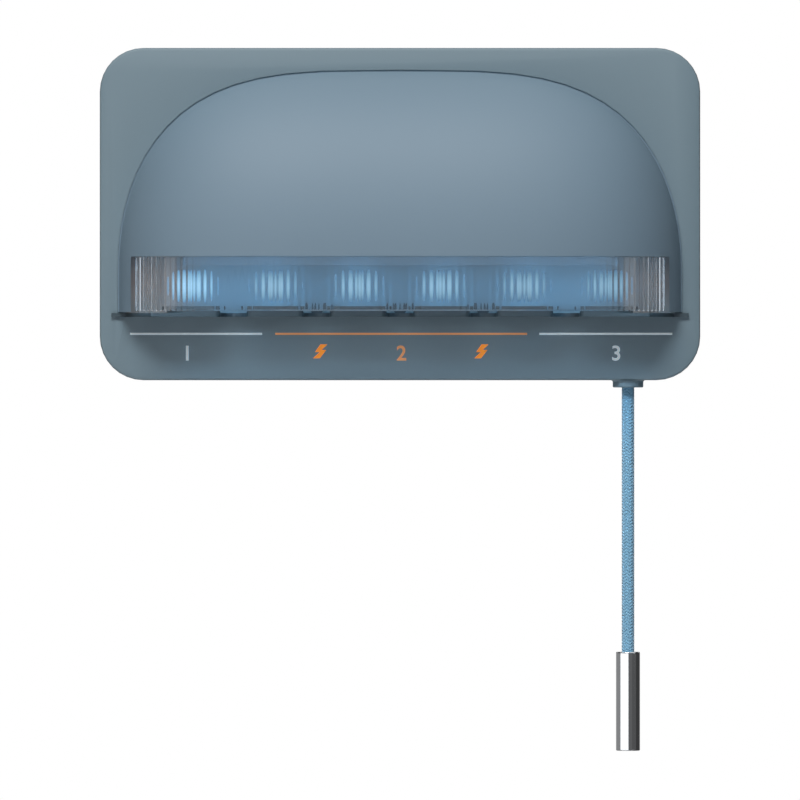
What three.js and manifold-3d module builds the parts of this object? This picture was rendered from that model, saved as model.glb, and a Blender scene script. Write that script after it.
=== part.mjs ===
// A wall-hung ultraviolet toothbrush sterilizer with a domed hood, a ribbed window and a pull-cord switch.
//
// Lengths are millimetres. X runs to the right, Z up, and the wall is the plane Y = 0, with the origin behind the
// middle of the case. "Out" is the distance in front of the wall, so a point at that distance has Y = -out.

import * as THREE from 'three';
import { mergeVertices } from 'three/addons/utils/BufferGeometryUtils.js';
import Module from 'manifold-3d';

const wasm = await Module();
wasm.setup();

// Clearances that all pieces share
const gap = 0.3; // between pieces that seat on each other
const overrun = 1; // how far a cutting body runs past the faces that it cuts
const weldDistance = 1e-4; // points closer than this are one corner

// Fineness of curves, in steps
const arcSteps = 4; // half of the steps along a rounded corner
const roundSides = 12; // round a post or a hole
const turnSides = 20; // round a turned piece
const screwSides = 10;
const lampSides = 16;
const bendSteps = 4; // in a turned quarter bend

// Foam pad on the wall, and the bracket that the case hangs on
const pad = { thickness: 1, margin: 2, cornerRadius: 4 };
const bracket = { width: 60, height: 46, cornerRadius: 3, plate: 1.5 };
const ear = { reach: 5, height: 10, spacing: 26, cornerRadius: 1 };
const liftTravel = 12; // how far the case is lifted to free it from the bracket's ears

// Case: an open-backed front housing, closed by the rear cover
const housing = { width: 206, height: 114, depth: 12, cornerRadius: 15, edgeRadius: 1, wall: 2 };
const cover = { thickness: 1.8, pocketWall: 1.5, pocketSlack: 0.3 };
const coverRib = { height: 3, width: 1.4, switchMargin: 11.7, inset: 17 };
const coverScrew = { headRadius: 2.5, headHeight: 1.6, radius: 1.2, length: 7, sink: 0.4, cupFloor: 1.5 };
const coverScrewInset = { corner: 15, middle: 7 }; // from the case's upper and lower edges to the screws
const coverScrewMargin = 1; // from the slider's rail to the nearest screw's cup

// Hood: its outline is straight up to the spring line and closes in one smooth arch above it
const hood = { sideMargin: 6.7, topMargin: 8.1, bottomMargin: 23.3, springHeight: 14.5, rise: 35.5, wall: 2 };
const widthPower = 3.6;
const heightPower = 2.1;
const risePower = 1.6;
const hoodArcSteps = 32;
const hoodLevels = 13;
const groove = { depth: 0.8, reveal: 0.6 };
const hoodPost = { radius: 3, crown: 0.6, ceilingMargin: 1.9 };
const hoodScrew = { headRadius: 2.2, headHeight: 1.3, radius: 1.2, length: 8 };
const upperPostShares = { x: 0.52, z: 0.683 }; // of the hood's half width, and of its top above the case's middle
const sidePostShare = 0.872;

// Window in the hood's lower edge
const lens = { height: 18.4, thickness: 2, ribDepth: 0.25, ribPitch: 2.54, endGap: 0.9, sideMargin: 5.1 };
const lensFlange = { reach: 6.2, thickness: 1.5, step: 2.8, setback: 0.8, endMargin: 15 };
const ribCrowdingShare = 1.5; // how much the ribs close up where the window turns away
const ribSteps = 3;
const lensSamples = 240;
const flangeSteps = 30;

// Rack that holds the brushes by their necks
const rack = { plate: 1.3, depth: 15, sideMargin: 11.2, cornerRadius: 8, earProud: 0.8, earMargin: 4 };
const rackLip = { height: 2.3, thickness: 1.5 };
const notch = { width: 9, depth: 9.5, mouthRadius: 2 };
const notchCount = 5;
const rackLug = { radius: 2.2, depth: 4.2, rise: 1.4 };
const rackScrew = { headRadius: 2, headHeight: 1.2, radius: 0.85, length: 5 };
const rackScrewNotches = [-1, 0, 1];

// Lamps in the chamber's back wall, between the notches
const lamp = { windowRadius: 5.5, flangeRadius: 6, flange: 1, proud: 0.4, dome: 1, height: 9 };
const lampCount = 6;
const lampMargin = 19.95; // from the window's ends to the last lamps
const lampBoard = { height: 10.8, thickness: 1.6, endMargin: 6, cornerRadius: 1.5 };

// Panel that closes the chamber's top
const ceilingShare = 0.408; // of the hood's height, up from its lower edge
const ceiling = { thickness: 2, slack: 0.5, lugWidth: 18, lugHeight: 5, lugOffset: 60, lugThickness: 2 };

// Battery in its cradle
const cell = { radius: 9.2, length: 65.2, nippleRadius: 3, nippleHeight: 1.2, edgeRadius: 0.8 };
const cradle = { wall: 1.5, flange: 3.5, flangeHeight: 1.5 };

// Control board and charging socket
const board = { thickness: 1.6, cornerRadius: 1.5, pegInset: 3.5 };
const boardMargin = { side: 6, cradle: 9.6, lamps: 5.3, screw: 15 }; // from the board's edges to its neighbours
const peg = { radius: 0.9, standRadius: 2.4, standGap: 2.1, proud: 0.4, slack: 0.3 };
const socket = { width: 9, height: 3.2, length: 7.3, shell: 0.35, setback: 0.3, tongue: 0.7, tongueMargin: 1.2 };
const chipHeight = 1.1;
const chipShares = [
  { x: -0.24, z: 0.18, width: 0.16, height: 0.22 },
  { x: 0.22, z: -0.2, width: 0.24, height: 0.17 },
  { x: 0.24, z: 0.26, width: 0.1, height: 0.14 },
];

// Pull cord, its grommet, slider, spring and weight, all on one axis
const cordSetback = 24.7; // from the case's right edge to the cord
const cord = { diameter: 4.25, clearance: 0.35, travel: 5 };
const cordSides = 10;
const ballShare = 0.97; // the round end's radius, kept just inside the cord's own
const grommet = { flangeRadius: 5.25, flare: 0.55, foot: 0.3, flange: 2.2, neckRadius: 3.2, collar: 1.3 };
const bell = { mouthRadius: 4.6, height: 3.2 };
const pivotRise = 2.3; // from the grommet's lower face to where the cord bends
const spring = { radius: 3.2, wire: 0.7 };
const springTurns = 5;
const springSteps = 8;
const springSides = 5;
const slider = { width: 13, height: 9.8, sideGap: 0.4, pocketClearance: 0.4, pocketDepth: 6.4 };
const sliderKey = { width: 2, height: 2, clearance: 0.35, offset: 4.4, length: 20 };
const stop = { thickness: 1.4, lampMargin: 0.6 };
const rail = { thickness: 1.6, length: 16 };
const knot = { radius: 2.8, height: 5, shoulder: 1.2 };
const weight = { radius: 4.1, length: 33.9, edgeRadius: 0.7, bore: 7 };

// The free cord hangs straight: each value is a drop below the bend in the grommet
const cordDrops = [0, 7, 14, 21, 28, 35, 42, 49, 56, 63, 70, 77, 84, 92, 99.8];

// Microswitch that the slider's ramp presses
const camSlopeShare = 0.25; // sideways push for each millimetre of pull
const camFoot = 0.5; // straight stretch below the ramp
const micro = { width: 6.5, height: 12.8, depth: 5.8, chamfer: 0.6 };
const microHole = { radius: 1.1, spacing: 6.5, inset: 3.9, standRadius: 1.7 };
const microPin = { width: 1.6, thickness: 0.5, length: 3, spacing: 5 };
const plunger = { radius: 1.2, lead: 1.4, tail: 1.5, slack: 0.3 };

const quarterTurn = Math.PI / 2;
const fullTurn = 2 * Math.PI;

// Places that several pieces share, worked out from the sizes above
const backOut = pad.thickness;
const coverInnerOut = backOut + cover.thickness;
const earOut = coverInnerOut + gap;
const pocketOut = earOut + bracket.plate + gap;
const pocketTopOut = pocketOut + cover.pocketWall;
const faceOut = backOut + housing.depth;
const faceInnerOut = faceOut - housing.wall;
const seatOut = faceOut + gap; // back of whatever stands on the face
const rimOut = faceOut - groove.depth + gap; // the hood's rim, down in its groove
const caseTopZ = housing.height / 2;
const caseBottomZ = -housing.height / 2;
const hoodHalfWidth = housing.width / 2 - hood.sideMargin;
const hoodTopZ = caseTopZ - hood.topMargin;
const hoodBottomZ = caseBottomZ + hood.bottomMargin;
const hoodSpringZ = hoodBottomZ + hood.springHeight;
const windowTopZ = hoodBottomZ + lens.height + 2 * gap;
const windowHalfWidth = hoodHalfWidth - lens.sideMargin;
const rackTopZ = hoodBottomZ - gap;
const rackBottomZ = rackTopZ - rack.plate;
const rackHalfWidth = windowHalfWidth - rack.sideMargin;
const pitch = (2 * (windowHalfWidth - lampMargin)) / (lampCount - 1); // of the lamps, and of the notches between them
const lampZ = hoodBottomZ + lamp.height;
const ceilingZ = hoodBottomZ + ceilingShare * (hoodTopZ - hoodBottomZ);
const cellZ = (ceilingZ + ceiling.thickness + hoodTopZ - hood.wall) / 2; // midway between the ceiling and the hood
const cradleHalfLength = cell.length / 2 + gap + cradle.wall;
const bossRadius = coverScrew.radius + gap + cover.pocketWall;
const cupRadius = coverScrew.headRadius + gap + cover.pocketWall;
const boardEdges = {
  left: -housing.width / 2 + boardMargin.side,
  right: -cradleHalfLength - boardMargin.cradle,
  bottom: lampZ + lampBoard.height / 2 + boardMargin.lamps,
  top: caseTopZ - coverScrewInset.corner - bossRadius - boardMargin.screw,
};
const boardX = (boardEdges.left + boardEdges.right) / 2;
const boardZ = (boardEdges.bottom + boardEdges.top) / 2;
const boardWidth = boardEdges.right - boardEdges.left;
const boardHeight = boardEdges.top - boardEdges.bottom;
const cordX = housing.width / 2 - cordSetback;
const cordOut = (coverInnerOut + faceInnerOut) / 2;
const cordRadius = cord.diameter / 2;
const boreRadius = cordRadius + cord.clearance;
const flangeTopZ = caseBottomZ - gap;
const flangeBottomZ = flangeTopZ - grommet.flange;
const neckTopZ = caseBottomZ + housing.wall + gap;
const collarTopZ = neckTopZ + grommet.collar;
const collarRadius = (faceInnerOut - coverInnerOut) / 2 - gap;
const springBottomZ = collarTopZ + gap;
const stopTopZ = lampZ - Math.max(lamp.flangeRadius, lampBoard.height / 2) - stop.lampMargin;
const stopBottomZ = stopTopZ - stop.thickness;
const sliderTopZ = stopBottomZ - gap;
const sliderBottomZ = sliderTopZ - slider.height;
const springLength = sliderBottomZ - gap - springBottomZ;
const railX = cordX + slider.width / 2 + gap;
const coverScrewX = railX + rail.thickness + coverScrewMargin + cupRadius;
const pocketRadius = knot.radius + slider.pocketClearance;
const pivotZ = flangeBottomZ + pivotRise;
const cordEndZ = pivotZ - cordDrops[cordDrops.length - 1];
const weightTopZ = cordEndZ - gap + weight.bore;

// Finishes of the real materials
const finishes = {
  shell: { color: 0x7d919c, roughness: 0.55, metalness: 0 },
  hoodShell: { color: 0x8294a1, roughness: 0.45, metalness: 0 },
  clear: { color: 0xa9c6da, roughness: 0.15, metalness: 0, transparent: true, opacity: 0.45 },
  lampGlass: { color: 0xa6d4f2, roughness: 0.2, metalness: 0, emissive: 0x6fb6e6 },
  rackShell: { color: 0x6b7f87, roughness: 0.5, metalness: 0 },
  innerWhite: { color: 0xc9d4da, roughness: 0.5, metalness: 0 },
  darkPlastic: { color: 0x2b2e33, roughness: 0.5, metalness: 0 },
  circuit: { color: 0x1f5c3a, roughness: 0.45, metalness: 0 },
  steel: { color: 0xb4b7ba, roughness: 0.35, metalness: 1 },
  chrome: { color: 0xd8dadc, roughness: 0.12, metalness: 1 },
  cellWrap: { color: 0x3d6fb0, roughness: 0.4, metalness: 0 },
  foam: { color: 0xe4e6e6, roughness: 0.9, metalness: 0 },
  braid: { color: 0x6897b2, roughness: 0.8, metalness: 0 },
  rubber: { color: 0x5e717e, roughness: 0.6, metalness: 0 },
  slidePlastic: { color: 0xe6e8e4, roughness: 0.4, metalness: 0 },
  red: { color: 0xb8402f, roughness: 0.4, metalness: 0 },
};

// Turns a closed three.js geometry into a body that can be joined and cut.
function solid(geometry) {
  geometry.deleteAttribute('normal');
  geometry.deleteAttribute('uv');
  const welded = mergeVertices(geometry, weldDistance);
  const corners = welded.index.array;
  const kept = [];
  for (let i = 0; i < corners.length; i += 3) {
    const [a, b, c] = [corners[i], corners[i + 1], corners[i + 2]];
    if (a !== b && b !== c && c !== a) kept.push(a, b, c);
  }
  return new wasm.Manifold(new wasm.Mesh({
    numProp: 3,
    vertProperties: welded.attributes.position.array,
    triVerts: new Uint32Array(kept),
  }));
}

function join(...bodies) {
  return bodies.reduce((whole, body) => whole.add(body));
}

function cut(body, ...tools) {
  return tools.reduce((rest, tool) => rest.subtract(tool), body);
}

// A named mesh of one body, placed at x, out and z.
function piece(name, body, finish, x = 0, out = 0, z = 0) {
  const { vertProperties, triVerts } = body.getMesh();
  const geometry = new THREE.BufferGeometry();
  geometry.setAttribute('position', new THREE.BufferAttribute(vertProperties, 3));
  geometry.setIndex(new THREE.BufferAttribute(triVerts, 1));
  geometry.computeVertexNormals();
  const mesh = new THREE.Mesh(geometry, new THREE.MeshStandardMaterial(finish));
  mesh.name = name;
  mesh.position.set(x, -out, z);
  return mesh;
}

function block(xFrom, xTo, outFrom, outTo, zFrom, zTo) {
  const geometry = new THREE.BoxGeometry(xTo - xFrom, outTo - outFrom, zTo - zFrom);
  geometry.translate((xFrom + xTo) / 2, -(outFrom + outTo) / 2, (zFrom + zTo) / 2);
  return solid(geometry);
}

// A round post that stands out from the wall's side.
function post(x, z, radius, outFrom, outTo) {
  const geometry = new THREE.CylinderGeometry(radius, radius, outTo - outFrom, roundSides);
  geometry.translate(x, -(outFrom + outTo) / 2, z);
  return solid(geometry);
}

// A round column along Z.
function column(x, out, radius, zFrom, zTo) {
  const geometry = new THREE.CylinderGeometry(radius, radius, zTo - zFrom, roundSides);
  geometry.rotateX(quarterTurn);
  geometry.translate(x, -out, (zFrom + zTo) / 2);
  return solid(geometry);
}

// A flat outline, drawn as seen from the front, made thick from outFrom to outTo.
function slab(shape, outFrom, outTo) {
  const depth = outTo - outFrom;
  const geometry = new THREE.ExtrudeGeometry(shape, { depth, bevelEnabled: false, curveSegments: arcSteps });
  geometry.translate(0, 0, outFrom);
  geometry.rotateX(quarterTurn);
  return solid(geometry);
}

// A plan outline, drawn as seen from above with Y = -out, made tall from zFrom to zTo.
function layer(shape, zFrom, zTo) {
  const depth = zTo - zFrom;
  const geometry = new THREE.ExtrudeGeometry(shape, { depth, bevelEnabled: false, curveSegments: arcSteps });
  geometry.translate(0, 0, zFrom);
  return solid(geometry);
}

// A body turned about the Z axis from [radius, z] points that start and end on the axis or close on themselves.
function turned(profile) {
  const points = profile.map(([radius, z]) => new THREE.Vector2(radius, z));
  if (THREE.ShapeUtils.area(points) < 0) points.reverse();
  const geometry = new THREE.LatheGeometry(points, turnSides);
  geometry.rotateX(quarterTurn);
  return solid(geometry);
}

// The same about an axis that points away from the wall: the points are [radius, out].
function turnedOut(profile, sides) {
  const points = profile.map(([radius, out]) => new THREE.Vector2(radius, -out));
  if (THREE.ShapeUtils.area(points) < 0) points.reverse();
  return solid(new THREE.LatheGeometry(points, sides));
}

function shapeOf(points) {
  return new THREE.Shape(points.map(([x, y]) => new THREE.Vector2(x, y)));
}

function roundedRectangle(width, height, radius, x = 0, z = 0) {
  const right = width / 2;
  const top = height / 2;
  const shape = new THREE.Shape();
  shape.absarc(x + right - radius, z + top - radius, radius, 0, quarterTurn);
  shape.absarc(x - right + radius, z + top - radius, radius, quarterTurn, 2 * quarterTurn);
  shape.absarc(x - right + radius, z - top + radius, radius, 2 * quarterTurn, 3 * quarterTurn);
  shape.absarc(x + right - radius, z - top + radius, radius, 3 * quarterTurn, fullTurn);
  return shape;
}

// Points of a quarter ellipse from [radiusFrom, zFrom] to [radiusTo, zTo], leaving along the axis.
function quarterBend(radiusFrom, zFrom, radiusTo, zTo) {
  return Array.from({ length: bendSteps + 1 }, (_, i) => {
    const turn = (quarterTurn * i) / bendSteps;
    const share = i === bendSteps ? 1 : 1 - Math.cos(turn);
    return [radiusFrom + (radiusTo - radiusFrom) * share, zFrom + (zTo - zFrom) * Math.sin(turn)];
  });
}

// Hood form: the outer one, or one set in by a wall.
function hoodForm(inset, bottomZ) {
  return {
    halfWidth: hoodHalfWidth - inset,
    topZ: hoodTopZ - inset,
    rise: hood.rise - inset,
    bottomZ,
  };
}

// One contour of the hood, from its lower right corner over the top to its lower left. Level 1 is the rim, and the
// contours shrink towards level 0, which is the straight ridge down the hood's middle.
function hoodContour(form, level) {
  const halfWidth = form.halfWidth * level;
  const archHeight = (form.topZ - hoodSpringZ) * level ** (widthPower / heightPower);
  const points = [[halfWidth, form.bottomZ]];
  for (let i = 0; i <= hoodArcSteps; i += 1) {
    const turn = (Math.PI * i) / hoodArcSteps;
    const side = i === hoodArcSteps / 2 ? 0 : Math.sign(Math.cos(turn)) * Math.abs(Math.cos(turn)) ** (2 / widthPower);
    const lift = i % hoodArcSteps === 0 ? 0 : Math.sin(turn) ** (2 / heightPower);
    points.push([halfWidth * side, hoodSpringZ + archHeight * lift]);
  }
  points.push([-halfWidth, form.bottomZ]);
  return points;
}

function hoodOutline(inset, bottomZ) {
  return shapeOf(hoodContour(hoodForm(inset, bottomZ), 1));
}

// The hood's height above its rim plane at a contour level.
function hoodRise(form, level) {
  return form.rise * (1 - level ** widthPower) ** (1 / risePower);
}

// A closed body inside the hood's form, made of stacked contours. The skirt carries its outline back past the rim.
function hoodBody(form, skirt) {
  const rings = [];
  if (skirt > 0) rings.push({ level: 1, out: rimOut - skirt });
  for (let i = 0; i <= hoodLevels; i += 1) {
    const level = i === hoodLevels ? 0 : Math.cos((quarterTurn * i) / hoodLevels);
    rings.push({ level, out: rimOut + hoodRise(form, level) });
  }
  const corners = rings.map(({ level, out }) => hoodContour(form, level).map(([x, z]) => [x, -out, z]));
  const last = corners[0].length - 1;
  const triangles = [];
  const quad = (a, b, c, d) => triangles.push(a, b, c, a, c, d);
  for (let i = 0; i + 1 < corners.length; i += 1) {
    const [outer, inner] = [corners[i], corners[i + 1]];
    for (let k = 0; k < last; k += 1) quad(outer[k], outer[k + 1], inner[k + 1], inner[k]);
    quad(outer[0], inner[0], inner[last], outer[last]);
  }
  const rim = corners[0];
  for (let k = 0; k < last / 2; k += 1) quad(rim[k + 1], rim[k], rim[last - k], rim[last - k - 1]);
  const geometry = new THREE.BufferGeometry();
  geometry.setAttribute('position', new THREE.Float32BufferAttribute(triangles.flat(), 3));
  return solid(geometry);
}

// The hood's level section below the spring line, pushed in along its own normal by an inset.
function sectionPoint(x, inset) {
  const share = Math.abs(x) / hoodHalfWidth;
  const rest = 1 - share ** widthPower;
  const out = rimOut + hood.rise * rest ** (1 / risePower);
  const slope = -Math.sign(x) * sectionSlope(x);
  const length = Math.hypot(slope, 1);
  return [x + (slope / length) * inset, -(out - inset / length)];
}

function sectionSlope(x) {
  const share = Math.abs(x) / hoodHalfWidth;
  const rest = 1 - share ** widthPower;
  const scale = (hood.rise * widthPower) / (risePower * hoodHalfWidth);
  return scale * share ** (widthPower - 1) * rest ** (1 / risePower - 1);
}

// A strip of the section between two insets, as a plan outline.
function sectionBand(halfWidth, outerInset, innerInset) {
  const places = Array.from({ length: flangeSteps + 1 }, (_, i) => halfWidth * (1 - (2 * i) / flangeSteps));
  const outer = places.map((x) => sectionPoint(x, outerInset));
  const inner = places.map((x) => sectionPoint(x, innerInset)).reverse();
  return shapeOf([...outer, ...inner]);
}

// Rib edges across the window: they stand at equal steps of a length that grows faster where the window turns away.
function ribEdges(halfWidth) {
  const places = [-halfWidth];
  const lengths = [0];
  const step = (2 * halfWidth) / lensSamples;
  for (let i = 0; i < lensSamples; i += 1) {
    const middle = -halfWidth + (i + 0.5) * step;
    places.push(-halfWidth + (i + 1) * step);
    lengths.push(lengths[i] + step * Math.hypot(1, ribCrowdingShare * sectionSlope(middle)));
  }
  const total = lengths[lensSamples];
  const count = Math.round(total / lens.ribPitch);
  const edges = [-halfWidth];
  for (let rib = 1, i = 0; rib < count; rib += 1) {
    const wanted = (total * rib) / count;
    while (lengths[i + 1] < wanted) i += 1;
    const share = (wanted - lengths[i]) / (lengths[i + 1] - lengths[i]);
    edges.push(places[i] + share * step);
  }
  edges.push(halfWidth);
  return edges;
}

function adhesivePad() {
  const width = bracket.width - 2 * pad.margin;
  const height = bracket.height - 2 * pad.margin;
  return slab(roundedRectangle(width, height, pad.cornerRadius), 0, pad.thickness);
}

// The bracket's stem stands off the wall, and its four ears reach out behind the rear cover's lips.
function wallBracket() {
  const outline = roundedRectangle(bracket.width, bracket.height, bracket.cornerRadius);
  const plateTop = earOut + bracket.plate;
  let body = slab(outline, pad.thickness + gap, plateTop);
  for (const z of [-ear.spacing / 2, ear.spacing / 2]) {
    const ears = roundedRectangle(bracket.width + 2 * ear.reach, ear.height, ear.cornerRadius, 0, z);
    body = join(body, slab(ears, earOut, plateTop));
  }
  return body;
}

function coverScrewPlaces() {
  const x = coverScrewX;
  const z = caseTopZ - coverScrewInset.corner;
  const middleZ = caseTopZ - coverScrewInset.middle;
  return [[-x, z], [0, middleZ], [x, z], [-x, -z], [0, -middleZ], [x, -z]];
}

// A dished pocket holds the bracket, with lips that close behind its ears and windows that let them in.
function coverPocket() {
  const slack = cover.pocketSlack;
  const halfX = bracket.width / 2 + ear.reach + slack;
  const topZ = bracket.height / 2 + slack;
  const bottomZ = -bracket.height / 2 - liftTravel - slack;
  const wall = cover.pocketWall;
  const dish = block(-halfX - wall, halfX + wall, backOut, pocketTopOut, bottomZ - wall, topZ + wall);
  const hollow = block(-halfX, halfX, coverInnerOut, pocketOut, bottomZ, topZ);
  const stemHalfX = bracket.width / 2 + slack;
  const through = [block(-stemHalfX, stemHalfX, backOut - overrun, pocketOut, bottomZ, topZ)];
  for (const z of [-ear.spacing / 2, ear.spacing / 2]) {
    const half = ear.height / 2 + slack;
    through.push(block(-halfX, halfX, backOut - overrun, pocketOut, z - liftTravel - half, z - liftTravel + half));
  }
  return { dish, cuts: [hollow, ...through] };
}

function rearCover() {
  const inset = housing.wall + gap;
  const radius = housing.cornerRadius - inset;
  const plate = roundedRectangle(housing.width - 2 * inset, housing.height - 2 * inset, radius);
  const pocket = coverPocket();
  let body = join(slab(plate, backOut, coverInnerOut), pocket.dish);
  const ribZ = caseTopZ - coverRib.inset;
  for (const z of [-ribZ, ribZ]) {
    const halfX = cordX + microFaceX - micro.width - microPin.length - coverRib.switchMargin;
    const halfZ = coverRib.width / 2;
    body = join(body, block(-halfX, halfX, backOut, coverInnerOut + coverRib.height, z - halfZ, z + halfZ));
  }
  const floorOut = coverScrewFloorOut();
  for (const [x, z] of coverScrewPlaces()) {
    body = join(body, post(x, z, cupRadius, backOut, floorOut + coverScrew.cupFloor));
  }
  body = cut(body, ...pocket.cuts);
  for (const [x, z] of coverScrewPlaces()) {
    const head = post(x, z, coverScrew.headRadius + gap, backOut - overrun, floorOut);
    const shank = post(x, z, coverScrew.radius + gap, backOut, floorOut + coverScrew.cupFloor + overrun);
    body = cut(body, head, shank);
  }
  return body;
}

// Floor of the cup that a cover screw's head sits in.
function coverScrewFloorOut() {
  return backOut + coverScrew.sink + coverScrew.headHeight + gap;
}

// A pan-head screw that points away from the wall, with the underside of its head at out = 0.
function screw({ headRadius, headHeight, radius, length }) {
  const edge = headHeight / 3;
  return turnedOut([
    [0, -headHeight],
    [headRadius - edge, -headHeight],
    [headRadius, -headHeight + edge],
    [headRadius, 0],
    [radius, 0],
    [radius, length - radius],
    [0, length],
  ], screwSides);
}

function hoodPostPlaces() {
  const upper = [upperPostShares.x * hoodHalfWidth, upperPostShares.z * hoodTopZ];
  const side = [sidePostShare * hoodHalfWidth, ceilingZ - hoodPost.ceilingMargin - hoodPost.radius];
  return [upper, side].flatMap(([x, z]) => [[-x, z], [x, z]]);
}

function rackScrewPlaces() {
  return rackScrewNotches.map((place) => [place * pitch, rackTopZ + rackLug.rise]);
}

function lampPlaces() {
  return Array.from({ length: lampCount }, (_, i) => [(i - (lampCount - 1) / 2) * pitch, lampZ]);
}

function boardPegPlaces() {
  const [halfX, halfZ] = [boardWidth / 2 - board.pegInset, boardHeight / 2 - board.pegInset];
  return [[-halfX, -halfZ], [halfX, -halfZ], [-halfX, halfZ], [halfX, halfZ]]
    .map(([x, z]) => [boardX + x, boardZ + z]);
}

const boardTopOut = faceInnerOut - peg.standGap - gap; // the control board's side towards the face
const lampBackOut = faceInnerOut - gap - lamp.flange;
const lampBoardTopOut = lampBackOut - gap;

function lampPegPlaces() {
  return [[-pitch, lampZ], [pitch, lampZ]];
}

const microFaceX = -slider.width / 2 - camSlopeShare * (slider.height - camFoot) - gap;
const microZ = sliderBottomZ + camFoot + plunger.lead;

// Holes that the switch and its two housing pegs share, from the cord's axis.
function microPegPlaces() {
  return [-1, 1].map((side) => [microFaceX - microHole.inset, microZ + (side * microHole.spacing) / 2]);
}

// Stand-offs behind the face, each with a peg through the board that it carries.
function standoff(x, z, seat, boardThickness) {
  const stand = post(x, z, peg.standRadius, seat, faceInnerOut + overrun / 2);
  const pin = post(x, z, peg.radius, seat - gap - boardThickness - peg.proud, faceInnerOut + overrun / 2);
  return join(stand, pin);
}

// The switch's bay: a key for the slider, a stop above it, a rail beside it and pegs for the microswitch.
function switchBay() {
  const near = coverInnerOut + gap;
  const far = faceInnerOut + overrun / 2;
  const halfWidth = slider.width / 2;
  const keyX = cordX + sliderKey.offset;
  const key = block(
    keyX - sliderKey.width / 2, keyX + sliderKey.width / 2,
    faceInnerOut - sliderKey.height, far, stopTopZ - sliderKey.length, stopTopZ,
  );
  const upperStop = block(cordX - halfWidth, cordX + halfWidth, near, far, stopBottomZ, stopTopZ);
  const guide = block(railX, railX + rail.thickness, near, far, stopTopZ - rail.length, stopTopZ);
  const pegs = microPegPlaces().map(([x, z]) => {
    const stand = post(cordX + x, z, microHole.standRadius, cordOut + micro.depth / 2 + gap, far);
    const pin = post(cordX + x, z, microHole.radius - gap, cordOut - micro.depth / 2 - peg.proud, far);
    return join(stand, pin);
  });
  return [key, upperStop, guide, ...pegs];
}

function socketSlot(clearance) {
  const height = socket.height + 2 * clearance;
  return roundedRectangle(socket.width + 2 * clearance, height, height / 2);
}

const socketOut = boardTopOut - board.thickness - gap - socket.height / 2;

// Extrudes an outline, drawn as seen from the side, along X.
function alongX(shape, xFrom, xTo, out, z) {
  const depth = xTo - xFrom;
  const geometry = new THREE.ExtrudeGeometry(shape, { depth, bevelEnabled: false, curveSegments: arcSteps });
  geometry.rotateY(quarterTurn);
  geometry.translate(xFrom, -out, z);
  return solid(geometry);
}

function housingShell() {
  const edge = housing.edgeRadius;
  const outline = roundedRectangle(housing.width - 2 * edge, housing.height - 2 * edge, housing.cornerRadius - edge);
  const geometry = new THREE.ExtrudeGeometry(outline, {
    depth: housing.depth - 2 * edge,
    bevelThickness: edge,
    bevelSize: edge,
    bevelSegments: 2,
    curveSegments: arcSteps,
  });
  geometry.translate(0, 0, backOut + edge);
  geometry.rotateX(quarterTurn);
  const wall = housing.wall;
  const inner = roundedRectangle(housing.width - 2 * wall, housing.height - 2 * wall, housing.cornerRadius - wall);
  return cut(solid(geometry), slab(inner, backOut - overrun, faceInnerOut));
}

function hoodGroove() {
  const floor = faceOut - groove.depth;
  const outer = slab(hoodOutline(-groove.reveal, hoodBottomZ - gap), floor, faceOut + overrun);
  const inner = slab(hoodOutline(hood.wall + gap, hoodBottomZ - overrun), floor - overrun, faceOut + 2 * overrun);
  return cut(outer, inner);
}

function frontHousing() {
  const bosses = coverScrewPlaces().map(([x, z]) => {
    const from = coverScrewFloorOut() + coverScrew.cupFloor + gap;
    return post(x, z, bossRadius, from, faceInnerOut + overrun / 2);
  });
  const boardStands = boardPegPlaces().map(([x, z]) => standoff(x, z, boardTopOut + gap, board.thickness));
  const lampStands = lampPegPlaces().map(([x, z]) => standoff(x, z, lampBoardTopOut + gap, lampBoard.thickness));
  const body = join(housingShell(), ...bosses, ...boardStands, ...lampStands, ...switchBay());
  const through = (radius) => ([x, z]) => post(x, z, radius, faceInnerOut - overrun, faceOut + overrun);
  const screwHoles = coverScrewPlaces().map(([x, z]) => {
    return post(x, z, coverScrew.radius + gap, backOut, coverScrewFloorOut() + coverScrew.length);
  });
  const bay = cradleBay();
  const usb = alongX(
    socketSlot(gap), -housing.width / 2 - overrun, -housing.width / 2 + housing.wall + overrun, socketOut, boardZ,
  );
  return cut(
    body,
    ...screwHoles,
    hoodGroove(),
    ...lampPlaces().map(through(lamp.windowRadius + gap)),
    ...hoodPostPlaces().map(through(hoodScrew.radius + gap)),
    ...rackScrewPlaces().map(through(rackScrew.radius + gap)),
    block(-bay.halfX, bay.halfX, faceInnerOut - overrun, faceOut + overrun, cellZ - bay.halfZ, cellZ + bay.halfZ),
    column(cordX, cordOut, grommet.neckRadius + gap, caseBottomZ - overrun, caseBottomZ + housing.wall + overrun),
    usb,
  );
}

function hoodShell() {
  const outer = hoodForm(0, hoodBottomZ);
  const inner = hoodForm(hood.wall, hoodBottomZ - overrun);
  const shell = cut(hoodBody(outer, 0), hoodBody(inner, overrun));
  const core = hoodBody(hoodForm(hoodPost.crown, hoodBottomZ), 0);
  const posts = hoodPostPlaces().map(([x, z]) => {
    return post(x, z, hoodPost.radius, seatOut, rimOut + hood.rise).intersect(core);
  });
  const holes = hoodPostPlaces().map(([x, z]) => {
    return post(x, z, hoodScrew.radius + gap, seatOut - overrun, hoodScrewSeatOut() + hoodScrew.length + gap);
  });
  const pane = block(
    -windowHalfWidth, windowHalfWidth, rimOut - overrun, rimOut + hood.rise + overrun,
    hoodBottomZ - overrun, windowTopZ,
  );
  return cut(join(shell, ...posts), pane, ...holes);
}

// Underside of the heads of the screws that hold the hood and the rack from behind the face.
function hoodScrewSeatOut() {
  return faceInnerOut - gap;
}

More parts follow.
